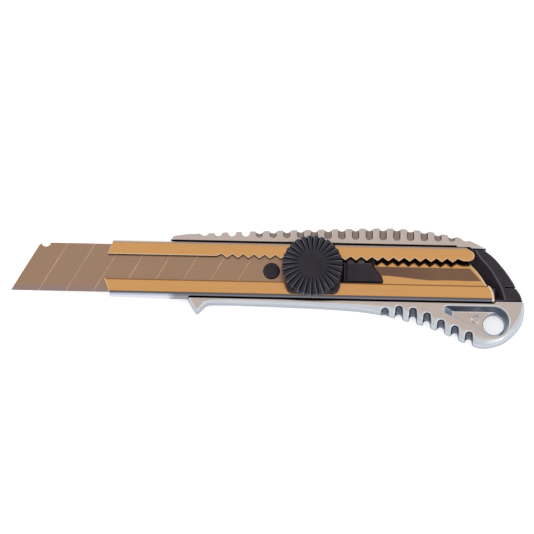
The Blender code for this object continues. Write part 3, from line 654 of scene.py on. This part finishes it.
def finger_notches(x, y, webs):
    """Finger notches in the grip; with webs 1 only the part below each web."""
    number = np.clip(np.round((x - FINGER_FIRST_X) / FINGER_PITCH), 0, len(FINGER_TOPS) - 1)
    number = number.astype(int)
    return slot_down(x, y, FINGER_FIRST_X + number * FINGER_PITCH,
                     FINGER_TOPS[number] - webs * FINGER_WEBS[number], FINGER_HALF)


def recess(x, y, z):
    """Teardrop recess round the hanging hole, its upper and rear walls drafted."""
    depth = np.clip((CASTING_FRONT - z) / (CASTING_FRONT - RECESS_FLOOR), 0.0, 1.0)
    slanted = outline(x + 0.6 * depth, y + 0.75 * depth, RECESS_RIM) + 0.8 * depth
    front_end = (48.4 + 3.6 * depth - x) / 1.45
    wall = np.maximum(outline(x, y, RECESS_RIM), np.maximum(slanted / 1.08, front_end))
    return smooth_max(wall, RECESS_FLOOR - z, 0.4)


def make_casting():
    """The detailed handle casting."""
    low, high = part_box("handle_casting")
    mesh = solid("cast_handle", casting_field, low / MM, high / MM, (0.42, 0.36, 0.36))
    x, y, z = places(mesh)
    below = CASTING_FRONT / 2 - np.abs(z - CASTING_FRONT / 2)
    # Mask for the painted shade inside the finger notches.
    notch = np.clip((0.35 - finger_notches(x, y, 0.0)) / 0.2, 0.0, 1.0)
    mark(mesh, "notch", notch * np.clip((below - 0.5) / 0.6, 0.0, 1.0))
    # Mask for the painted shade on the walls of the recess and the hanging hole.
    pit = np.minimum(outline(x, y, RECESS_RIM), disc(x, y, HANG_X, HANG_Y, HANG_RADIUS))
    mark(mesh, "recess", np.clip((0.4 - pit) / 0.3, 0.0, 1.0) *
         np.clip((CASTING_FRONT - 0.2 - z) / 0.5, 0.0, 1.0))
    piece("cast_handle", mesh, "handle", [ALUMINIUM], ["handle_casting"])


# ---- blade channel ---------------------------------------------------------------------------

BEND_RADIUS, LOW_BEND_RADIUS = 1.0, 1.7
EDGE_STRIP = 0.2               # how wide the painted highlight strip beside the sheared edge is


def rack_y(x):
    """Y of the upper lip's free edge: straight in front, then the rack's teeth."""
    start = RACK_FIRST_X - RACK_PITCH / 2
    end = start + RACK_VALLEYS * RACK_PITCH
    phase = ((x - start) / RACK_PITCH) % 1.0
    tooth = RACK_TIP + (RACK_VALLEY - RACK_TIP) * (1.0 - abs(2.0 * phase - 1.0))
    return tooth if start < x < end - 0.01 else SLOT_HIGH


def mouth_x(y):
    """X of the mouth's edge on both lips and on the floor."""
    return float(np.interp(y, (-12.0, SLOT_LOW, SLOT_HIGH, 12.0), (-73.0, -76.0, -75.0, -72.3)))


def rear_x(y, on_front):
    """X of the rear edge: slanted on the floor and sides, shaped at each lip's end."""
    if not on_front:
        return float(np.interp(y, [b for _, b in REAR_EDGE], [a for a, _ in REAR_EDGE])) - 0.3
    if y < 0:
        return float(np.interp(y, (-11.0, -7.6, -5.6, SLOT_LOW), (67.1, 66.8, 66.2, 65.0)))
    if y > 8.7:
        return float(np.interp(y, (8.7, 9.5, 10.6), (58.2, 56.8, 54.0)))
    return 57.6 + math.sqrt(max(0.0, 1.9 ** 2 - (y - 6.9) ** 2))


def channel_section(x):
    """Points of the C section at X, from the rack's edge round to the lower lip's edge."""
    half, front = CHANNEL_HALF, CHANNEL_FRONT
    back = CHANNEL_BACK + float(nose_rise(x))
    r, low_r = BEND_RADIUS, LOW_BEND_RADIUS
    edge = rack_y(x)
    inner = edge + EDGE_STRIP
    points = [(edge, front, True)]
    points += [(inner + (half - r - inner) * t, front, True) for t in np.linspace(0.0, 1.0, 9)]
    points += [(a, b, True) for a, b in arc(half - r, front - r, r, 75, 0, 5)]
    points += [(a, b, False) for a, b in arc(half - r, back + r, r, 0, -90, 6)]
    points += [(half - r + (2 * r - 2 * half) * t, back, False) for t in np.linspace(0.1, 0.9, 9)]
    points += [(a, b, False) for a, b in arc(r - half, back + r, r, 270, 180, 6)]
    points += [(a, b, True) for a, b in arc(low_r - half, front - low_r, low_r, 180, 90, 9)]
    points += [(low_r - half + (SLOT_LOW + half - low_r) * t, front, True)
               for t in (0.4, 0.75, 1.0)]
    return points


def channel_stations():
    """Where sections are taken: at every tooth's tip and valley, and closely at both ends."""
    start = RACK_FIRST_X - RACK_PITCH / 2
    front = list(np.linspace(-72.0, NOSE_X, 12)) + list(np.linspace(NOSE_X + 2, start - 0.01, 5))
    rack = [start + RACK_PITCH / 2 * i for i in range(2 * RACK_VALLEYS)]
    return front + rack + [start + RACK_VALLEYS * RACK_PITCH]


def kept_x(x, y, on_front):
    """X of a station, drawn back where the floor and sides end before the upper lip does."""
    if on_front or x < TAPER_X:
        return x
    end = min(RACK_END_X, rear_x(y, False) - 1.0)
    return TAPER_X + (x - TAPER_X) * (end - TAPER_X) / (RACK_END_X - TAPER_X)


def make_channel():
    """Blade channel: folded sheet with rounded bends, the rack and bright sheared edges, whose pale
    strips on the top face are a painted highlight.
    """
    stations = channel_stations()
    rows = []
    first, last = channel_section(stations[0]), channel_section(stations[-1])
    for t in (0.0, 0.08, 0.3, 0.55, 0.8):
        rows.append([(mouth_x(y) * (1 - t) + stations[0] * t, y, z) for y, z, _ in first])
    for x in stations:
        rows.append([(kept_x(x, y, on_front), y, z) for y, z, on_front in channel_section(x)])
    for t in (0.2, 0.45, 0.7, 0.93, 1.0):
        rows.append([(kept_x(stations[-1], y, on_front) * (1 - t) + rear_x(y, on_front) * t, y, z)
                     for y, z, on_front in last])
    width = len(first)
    points = [tuple(MM * c for c in p) for row in rows for p in row]
    faces = [(i * width + j, i * width + j + 1, (i + 1) * width + j + 1, (i + 1) * width + j)
             for i in range(len(rows) - 1) for j in range(width - 1)]
    mesh = bpy.data.meshes.new("folded_channel")
    mesh.from_pydata(points, [], faces)
    # Painted highlight: the strip of faces along the rack's edge and the strips at the mouth and
    # the rear end take the pale edge material; the sheet's rim gives it to the real sheared edges.
    for index, face in enumerate(mesh.polygons):
        row, column = divmod(index, width - 1)
        face.material_index = int(column == 0 or row in (0, len(rows) - 2))
    item = piece("folded_channel", mesh, "handle", [GOLD, BRIGHT_EDGE],
                 ["blade_channel"])
    sheet = item.modifiers.new("sheet", "SOLIDIFY")
    sheet.thickness = SHEET * MM
    # The faces point inwards, so the sheet grows outwards from the section's points.
    sheet.offset = -1.0
    sheet.use_even_offset = True
    sheet.material_offset_rim = 1
    bpy.context.view_layer.update()
    thick = bpy.data.meshes.new_from_object(
        item.evaluated_get(bpy.context.evaluated_depsgraph_get()))
    item.modifiers.remove(sheet)
    item.data = thick
    thick.shade_smooth()
    thick.set_sharp_from_angle(angle=math.radians(40.0))


# ---- blade -----------------------------------------------------------------------------------

SCORE_PITCH, SCORE_ANGLE = 10.0, math.radians(60.0)
SCORE_HALF_WIDTH, SCORE_DEPTH = 0.085, 0.03
BEVEL_WIDTH = 2.0


def make_blade():
    """Blade with its notch, hole, scored lines and ground bevel."""
    lean = 2 * BLADE_HALF / math.tan(SCORE_ANGLE)
    tip, length = BLADE_TIP_X, 100.0
    notch = arc(tip + lean + 1.9, BLADE_HALF + 0.3, 1.8, 200, 350, 14)
    rim = [(tip, -BLADE_HALF), (tip + length, -BLADE_HALF), (tip + length + lean, BLADE_HALF),
           *reversed(notch), (tip + lean - 0.45, BLADE_HALF - 0.78)]
    curve = bpy.data.curves.new("blade_outline", "CURVE")
    curve.dimensions = "2D"
    curve.fill_mode = "BOTH"
    thickness = BLADE_TOP - BLADE_UNDER
    curve.extrude = thickness / 2 * MM
    for points in (rim, arc(PEG_X, 0.0, BLADE_HOLE, 0, 352.5, 47)):
        spline = curve.splines.new("POLY")
        spline.points.add(len(points) - 1)
        for point, (x, y) in zip(spline.points, points):
            point.co = (x * MM, y * MM, 0.0, 1.0)
        spline.use_cyclic_u = True
    source = bpy.data.objects.new("blade_outline", curve)
    bpy.context.scene.collection.objects.link(source)
    bpy.context.view_layer.update()
    mesh = bpy.data.meshes.new_from_object(
        source.evaluated_get(bpy.context.evaluated_depsgraph_get()))
    bpy.data.objects.remove(source, do_unlink=True)
    mesh.transform(Matrix.Translation((0, 0, (BLADE_TOP + BLADE_UNDER) / 2 * MM)))
    shape = bmesh.new()
    shape.from_mesh(mesh)
    bmesh.ops.remove_doubles(shape, verts=shape.verts, dist=1e-7)
    across = Vector((math.sin(SCORE_ANGLE), -math.cos(SCORE_ANGLE), 0.0))
    for i in range(1, 9):
        start = Vector((tip + i * SCORE_PITCH, -BLADE_HALF, 0.0))
        for offset in (-SCORE_HALF_WIDTH, 0.0, SCORE_HALF_WIDTH):
            plane = (start + across * offset) * MM
            slice_mesh(shape, plane, across)
    for y in (-BLADE_HALF + BEVEL_WIDTH, -BLADE_HALF + 0.35):
        slice_mesh(shape, Vector((0, y, 0)) * MM, Vector((0, 1, 0)))
    middle = (BLADE_TOP + BLADE_UNDER) / 2 * MM
    for vertex in shape.verts:
        x, y, _ = vertex.co / MM
        side = math.copysign(1.0, vertex.co.z - middle)
        depth = thickness / 2
        rise = y + BLADE_HALF
        if rise < BEVEL_WIDTH - 0.01:
            depth *= 0.06 + 0.94 * (rise / BEVEL_WIDTH) ** 0.9
        along = (x - tip - rise / math.tan(SCORE_ANGLE)) / SCORE_PITCH
        scored = abs(along - round(along)) * SCORE_PITCH < 0.02 and 1 <= round(along) <= 8
        if scored and side > 0 and rise > 0.4 and abs(y) < BLADE_HALF - 0.01:
            depth -= SCORE_DEPTH * min(1.0, rise / BEVEL_WIDTH)
        vertex.co.z = middle + side * depth * MM
    for face in shape.faces:
        x, y, _ = face.calc_center_median() / MM
        along = (x - tip - (y + BLADE_HALF) / math.tan(SCORE_ANGLE)) / SCORE_PITCH
        near = abs(along - round(along)) * SCORE_PITCH < SCORE_HALF_WIDTH * 1.3
        face.material_index = int(near and 1 <= round(along) <= 8 and face.normal.z > 0.3)
    bmesh.ops.recalc_face_normals(shape, faces=shape.faces)
    shape.to_mesh(mesh)
    shape.free()
    piece("scored_blade", mesh, "carriage", [BLADE_STEEL, SCORE_STEEL],
          ["snap_off_blade"])


def slice_mesh(shape, point, normal):
    """Cut new edges through a mesh where a plane crosses it."""
    bmesh.ops.bisect_plane(shape, geom=[*shape.verts, *shape.edges, *shape.faces],
                           plane_co=point, plane_no=normal)


# ---- carriage and lock -----------------------------------------------------------------------

PLATE_OUTLINE = [(-9.8, -5.6), (-8.8, -7.8), (-7.4, -8.7), (8.2, -8.7), (9.6, -7.6), (10.4, -5.6),
                 (10.4, 5.6), (9.6, 7.6), (8.2, 8.7), (-7.4, 8.7), (-8.8, 7.8), (-9.8, 5.6)]
STUD_BORE = 2.3


def plate_field(x, y, z):
    """Base plate under the wheel, with its neck between the lips and the washers' seat."""
    plate = smooth_max(outline(x, y, PLATE_OUTLINE), slab(z, PLATE_UNDER, PLATE_TOP), 1.1)
    neck = np.maximum(np.abs(x) - 7.5, np.maximum(slab(y, -3.8, 4.0),
                                                   slab(z, LIP_UNDER, PLATE_UNDER + 1.0)))
    body = np.minimum(plate, neck)
    body = cut(body, disc(x, y, 0.0, AXIS_Y, STUD_BORE), 0.3)
    return cut(body, np.maximum(disc(x, y, 0.0, AXIS_Y, 5.3), 9.6 - z), 0.3)


def bar_field(x, y, z):
    """Lock bar: foot under the stud, raised tail with a groove, and two teeth for the rack."""
    foot_side = outline(x, y, [
        (1.0, AXIS_Y - 3.3), (21.3, AXIS_Y - 4.5), (21.3, 3.9), (1.0, AXIS_Y + 3.3),
        *arc(0.0, AXIS_Y, 3.3, 90, 270, 16)])
    foot = smooth_max(foot_side, slab(z, SLIDER_UNDER, 5.2), 0.3)
    tail_side = outline(x, y, [
        (11.2, -3.9), (BAR_REAR_X - 0.3, -3.9), (BAR_REAR_X, -2.9), (BAR_REAR_X - 0.5, -1.2),
        (BAR_REAR_X - 4.5, 3.9), (11.2, 3.9)])
    chamfer = (tail_side + z - BAR_TOP + 0.75) * 0.7071
    tail = smooth_max(smooth_max(tail_side, slab(z, 4.7, BAR_TOP), 0.25), chamfer, 0.15)
    body = smooth_min(foot, tail, 0.2)
    for valley in (12, 13):
        cx = RACK_FIRST_X + valley * RACK_PITCH
        tooth = outline(x, y, [(cx - 1.3, 3.5), (cx + 1.3, 3.5), (cx + 1.3, 4.2), (cx, 5.4),
                               (cx - 1.3, 4.2)])
        body = np.minimum(body, np.maximum(tooth, slab(z, 4.9, BLADE_TOP)))
    body = cut(body, np.maximum(slab(x, 12.2, 12.9), 6.3 - z), 0.2)
    body = cut(body, disc(x, y, 0.0, AXIS_Y, STUD_BORE), 0.2)
    return cut(body, np.maximum(disc(x, y, 0.0, AXIS_Y, 2.8), z - 4.6), 0.2)


def slider_field(x, y, z):
    """Slider: blade seat with its round peg, and a frame round the lock bar."""
    lean = (y + BLADE_HALF) / math.tan(SCORE_ANGLE)
    behind_blade = (BLADE_TIP_X + 100.5 + lean - x) * math.sin(SCORE_ANGLE)
    frame_side = np.maximum(np.maximum(behind_blade, x - SLIDER_REAR_X), np.abs(y) - 8.7)
    body = smooth_max(frame_side, slab(z, SLIDER_UNDER, BLADE_TOP), 0.4)
    seat = np.maximum(np.maximum(slab(x, -20.5, 4.0), np.abs(y) - 8.7),
                      slab(z, 4.6, BLADE_UNDER - 0.3))
    crown = ((x - PEG_X) ** 2 + y ** 2) * 0.02
    peg = smooth_max(disc(x, y, PEG_X, 0.0, PEG_RADIUS),
                     slab(z, 5.0, CHANNEL_FRONT - 0.2) + np.maximum(crown - 0.05, 0.0), 0.35)
    body = np.minimum(np.minimum(body, seat), peg)
    body = cut(body, disc(x, y, 0.0, AXIS_Y, 3.9), 0.2)
    body = cut(body, np.maximum(slab(x, 0.0, 21.6), np.abs(y) - 4.2), 0.2)
    body = cut(body, np.maximum(slab(x, 9.0, 21.6), slab(y, 0.0, 6.0)), 0.2)
    body = cut(body, np.maximum(np.maximum(slab(x, 20.0, 25.0), slab(y, -4.2, 6.0)), 4.4 - z), 0.2)
    return cut(body, np.maximum(np.maximum(slab(x, -4.0, 20.0), slab(y, -7.7, -5.1)), z - 4.7),
               0.2)


def cad_solid(name, node, field, step, body, material):
    """A detailed piece made from a field, in the box of the CAD node that it replaces."""
    low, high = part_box(node)
    mesh = solid(name, field, low / MM, high / MM, (step,) * 3)
    return piece(name, mesh, body, [material], [node])


WHEEL_PETALS = 28
HUB_RADIUS, HUB_BORE = 6.2, 3.6


def wheel_profile():
    """Radius, height and groove depth from the top's centre round the rim to the hub's bore."""
    top, rim, under = WHEEL_TOP, 15.3, 12.0
    rows = [(r, top - 0.16 * (r / 4.4) ** 2, 0.0) for r in np.linspace(0.4, 4.2, 8)]
    for t in np.linspace(0.0, 1.0, 14):
        r = 4.4 + (WHEEL_RADIUS - 4.4) * t
        height = top - 0.2 - (top - 0.2 - rim) * t ** 1.75
        rows.append((r, height, 0.75 * min(1.0, 0.12 + 1.5 * t)))
    rows += [(WHEEL_RADIUS, z, 0.75) for z in (15.0, 14.6, 13.8, 13.0, 12.6)]
    rows += [(WHEEL_RADIUS - 0.15, 12.25, 0.6), (WHEEL_RADIUS - 0.5, under, 0.35)]
    rows += [(8.5, under, 0.0), (HUB_RADIUS, under, 0.0), (HUB_RADIUS, WHEEL_UNDER + 0.15, 0.0),
             (HUB_RADIUS - 0.15, WHEEL_UNDER, 0.0), (HUB_BORE, WHEEL_UNDER, 0.0),
             (HUB_BORE, 16.4, 0.0)]
    return rows


def make_wheel():
    """Lock wheel: smooth middle, petals with narrow grooves between them, scalloped rim."""
    per_petal = 16
    around = WHEEL_PETALS * per_petal
    rows = wheel_profile()
    points = [(0.0, AXIS_Y * MM, WHEEL_TOP * MM)]
    painted_highlight = [0.0]
    for radius, height, groove in rows:
        for i in range(around):
            phase = (i / per_petal) % 1.0
            away = abs(2.0 * phase - 1.0)
            valley = groove * (max(0.0, away - 0.55) / 0.45) ** 1.4
            crown = 0.12 * groove * math.cos(math.pi * (phase - 0.5))
            on_rim = 1.0 if radius > WHEEL_RADIUS - 0.2 else 0.0
            reach = radius - valley * (0.75 if on_rim else 0.0)
            drop = 0.0 if on_rim and height < 15.2 else valley - crown
            angle = 2.0 * math.pi * i / around
            # Painted highlight: a pale line along one side of each groove.
            painted_highlight.append(1.2 * groove * max(0.0, 1.0 - abs(phase - 0.75) * 12.0))
            points.append((reach * math.cos(angle) * MM, (AXIS_Y + reach * math.sin(angle)) * MM,
                           (height - drop) * MM))
    end = len(points)
    points.append((0.0, AXIS_Y * MM, 16.4 * MM))
    painted_highlight.append(0.0)
    faces = []
    for i in range(around):
        j = (i + 1) % around
        faces.append((0, 1 + i, 1 + j))
        for k in range(len(rows) - 1):
            a, b = 1 + k * around, 1 + (k + 1) * around
            faces.append((a + i, b + i, b + j, a + j))
        a = 1 + (len(rows) - 1) * around
        faces.append((a + i, end, a + j))
    mesh = bpy.data.meshes.new("petal_wheel")
    mesh.from_pydata(points, [], faces)
    mark(mesh, "painted_highlight", painted_highlight)
    mesh.shade_smooth()
    mesh.set_sharp_from_angle(angle=math.radians(38.0))
    piece("petal_wheel", mesh, "wheel", [WHEEL_PLASTIC], ["lock_wheel"])


def make_screws():
    """Countersunk screws in the back, with a driver slot."""
    for index, cx in enumerate(SCREW_XS):
        def field(x, y, z, cx=cx):
            shank = smooth_max(disc(x, y, cx, 0.0, SCREW_RADIUS), slab(z, 0.5, FLOOR - 0.1), 0.3)
            dome = 0.2 + 0.02 * ((x - cx) ** 2 + y ** 2)
            head = smooth_max(disc(x, y, cx, 0.0, SCREW_HEAD_RADIUS),
                              np.maximum(dome - z, z - 0.7), 0.2)
            slot = np.maximum(np.abs(y) - 0.3, z - 0.5)
            return cut(smooth_min(shank, head, 0.2), slot, 0.12)
        node = "channel_screw_%d" % (index + 1)
        cad_solid("slotted_screw_%d" % (index + 1), node, field, 0.11, "handle",
                  BRIGHT_STEEL)


# ---- end cap ---------------------------------------------------------------------------------

CAP_OUTER = smooth_line([(63.0, 9.5), (66.4, 7.0), (69.1, 4.1), (71.6, 1.0), (73.8, -2.3),
                         (75.2, -4.9), (76.6, -7.2), (77.4, -9.6)])
CAP_RIDGE = smooth_line([(59.9, 9.5), (61.8, 6.6), (64.3, 3.8), (66.4, 1.0), (68.5, -2.6),
                         (70.1, -5.9), (71.0, -9.6)])
CAP_STEP = 3.6
RIDGE_SLOPE = 1.5
SLIDER_ROOM_X, SLIDER_ROOM_HALF, SLIDER_ROOM_FLOOR = 59.0, 9.1, 3.65
PRONG_Y = (-9.0, -4.8)
SLIT_Y, SLIT_FRONT_X, SLIT_BACK_Z = (-4.75, -4.25), 70.8, 2.0


def cap_field(x, y, z):
    """End cap: crowned band, ridge, wall down to a step, room for the slider, slit and prong."""
    side = np.maximum(outline(x, y, [(50.0, CAP_LOW_Y), (50.0, CAP_TOP_Y), *CAP_OUTER]),
                      0.1 - rear_edge(x, y))
    inner = outline(x, y, [*CAP_RIDGE, (40.0, -9.6), (40.0, 9.5)])
    band = np.clip(inner / 5.0, 0.0, 1.0)
    front = CASTING_FRONT - 0.9 * band ** 2
    front = np.where(inner < 0, CASTING_FRONT + inner * RIDGE_SLOPE, front)
    front = np.maximum(front, CAP_STEP)
    faces = np.maximum(-z, (z - front) / np.where(inner < 0, 1.6, 1.05))
    body = smooth_max(side, faces, 0.9)
    room = np.maximum(np.maximum(x - SLIDER_ROOM_X, np.abs(y) - SLIDER_ROOM_HALF),
                      SLIDER_ROOM_FLOOR - z)
    body = cut(body, room, 0.2)
    across = slab(y, *PRONG_Y)
    prong = np.maximum(slab(x, 62.4, 67.2), np.maximum(across, slab(z, SLIDER_UNDER, BLADE_TOP)))
    root = np.maximum(slab(x, 66.3, 67.2), np.maximum(across, slab(z, 2.5, 5.0)))
    body = np.minimum(body, np.minimum(prong, root))
    slit = np.maximum(np.maximum(slab(y, *SLIT_Y), SLIT_BACK_Z - z), SLIT_FRONT_X - x)
    return cut(body, slit, 0.3)


def mark_ridge(mesh):
    """Painted highlight line along the cap's ridge."""
    x, y, z = places(mesh)
    away = np.abs(outline(x, y, [*CAP_RIDGE, (40.0, -9.6), (40.0, 9.5)]) + 0.1)
    mark(mesh, "painted_highlight", np.clip(1.0 - away / 0.3, 0.0, 1.0) * (z > CASTING_FRONT - 0.6) * 0.8)


# ---- put the pieces together -----------------------------------------------------------------

make_casting()
make_channel()
make_blade()
make_wheel()
make_screws()
cad_solid("wheel_base", "base_plate", plate_field, 0.22, "carriage",
          BLOCK_PLASTIC)
cad_solid("toothed_bar", "lock_bar", bar_field, 0.17, "lock", BLOCK_PLASTIC)
cad_solid("blade_slider", "slider_block", slider_field, 0.24, "carriage",
          BLOCK_PLASTIC)
rounded_cap = cad_solid("rounded_cap", "end_cap", cap_field, 0.22, "cap",
                        CAP_PLASTIC)
mark_ridge(rounded_cap.data)
for node, material in (("drag_spring", BRIGHT_STEEL), ("flat_washer", BRIGHT_STEEL),
                       ("spring_washer", BRIGHT_STEEL), ("lock_stud", BRIGHT_STEEL),
                       ("wheel_insert", BRASS)):
    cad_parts[node].data.materials.clear()
    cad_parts[node].data.materials.append(material)


# ---- floor, light and camera -----------------------------------------------------------------

VIEW_ELEVATION = math.radians(78.0)
VIEW_ROLL = math.radians(1.2)
VIEW_DISTANCE = 1.2
VIEW_WIDTH = 0.1958            # how much of the length the picture is wide, at the knife
AIM = Vector((-16.5, 1.3, 7.4)) * MM
WORLD_COLORS = ((0.05, (0.78, 0.87, 1.0)), (0.85, (1.0, 0.985, 0.96)))


def make_floor():
    """Pale floor under the knife's back."""
    mesh = bpy.data.meshes.new("floor")
    reach = 3.0
    mesh.from_pydata([(-reach, -reach, 0), (reach, -reach, 0), (reach, reach, 0),
                      (-reach, reach, 0)], [], [(0, 1, 2, 3)])
    floor = bpy.data.objects.new("floor", mesh)
    bpy.context.scene.collection.objects.link(floor)
    floor.location.z = -0.05 * MM
    paper = Paint("floor_paper", (0.86, 0.86, 0.86), 0.9, 0.0)
    paper.shader.inputs["Emission Color"].default_value = (1.0, 1.0, 1.0, 1.0)
    paper.shader.inputs["Emission Strength"].default_value = 0.48
    mesh.materials.append(paper.material)


def make_light(name, place, size, power, color):
    """Square soft light that faces the knife."""
    data = bpy.data.lights.new(name, "AREA")
    data.size = size
    data.energy = power
    data.color = color
    light = bpy.data.objects.new(name, data)
    bpy.context.scene.collection.objects.link(light)
    light.location = place
    light.rotation_euler = (AIM - Vector(place)).to_track_quat("-Z", "Y").to_euler()


def make_world():
    """Soft white surroundings, warm overhead and cool towards the horizon."""
    world = bpy.data.worlds.new("studio")
    bpy.context.scene.world = world
    world.use_nodes = True
    tree = world.node_tree
    direction = tree.nodes.new("ShaderNodeTexCoord").outputs["Generated"]
    parts = tree.nodes.new("ShaderNodeSeparateXYZ")
    tree.links.new(direction, parts.inputs[0])
    ramp = tree.nodes.new("ShaderNodeValToRGB")
    tree.links.new(parts.outputs["Z"], ramp.inputs[0])
    for element, (place, color) in zip(ramp.color_ramp.elements, WORLD_COLORS):
        element.position = place
        element.color = (*color, 1.0)
    background = tree.nodes["Background"]
    tree.links.new(ramp.outputs[0], background.inputs["Color"])
    background.inputs["Strength"].default_value = 1.06


def make_camera():
    """Camera almost straight above, leaning back from the cutting edge, long lens."""
    data = bpy.data.cameras.new("camera")
    data.sensor_width = 36.0
    data.lens = 36.0 * VIEW_DISTANCE / VIEW_WIDTH
    data.clip_end = 20.0
    camera = bpy.data.objects.new("camera", data)
    bpy.context.scene.collection.objects.link(camera)
    back = Vector((0.0, -math.cos(VIEW_ELEVATION), math.sin(VIEW_ELEVATION)))
    camera.location = AIM + back * VIEW_DISTANCE
    look = (-back).to_track_quat("-Z", "Y").to_matrix()
    camera.rotation_euler = (look @ Matrix.Rotation(VIEW_ROLL, 3, "Z")).to_euler()
    bpy.context.scene.camera = camera


make_floor()
make_world()
make_light("key", (0.55, -0.75, 0.65), 0.30, 1.3, (1.0, 0.98, 0.95))
make_light("rim", (-0.75, 0.25, 0.55), 0.25, 0.9, (0.85, 0.92, 1.0))
make_camera()
bpy.context.scene.view_settings.view_transform = "Standard"
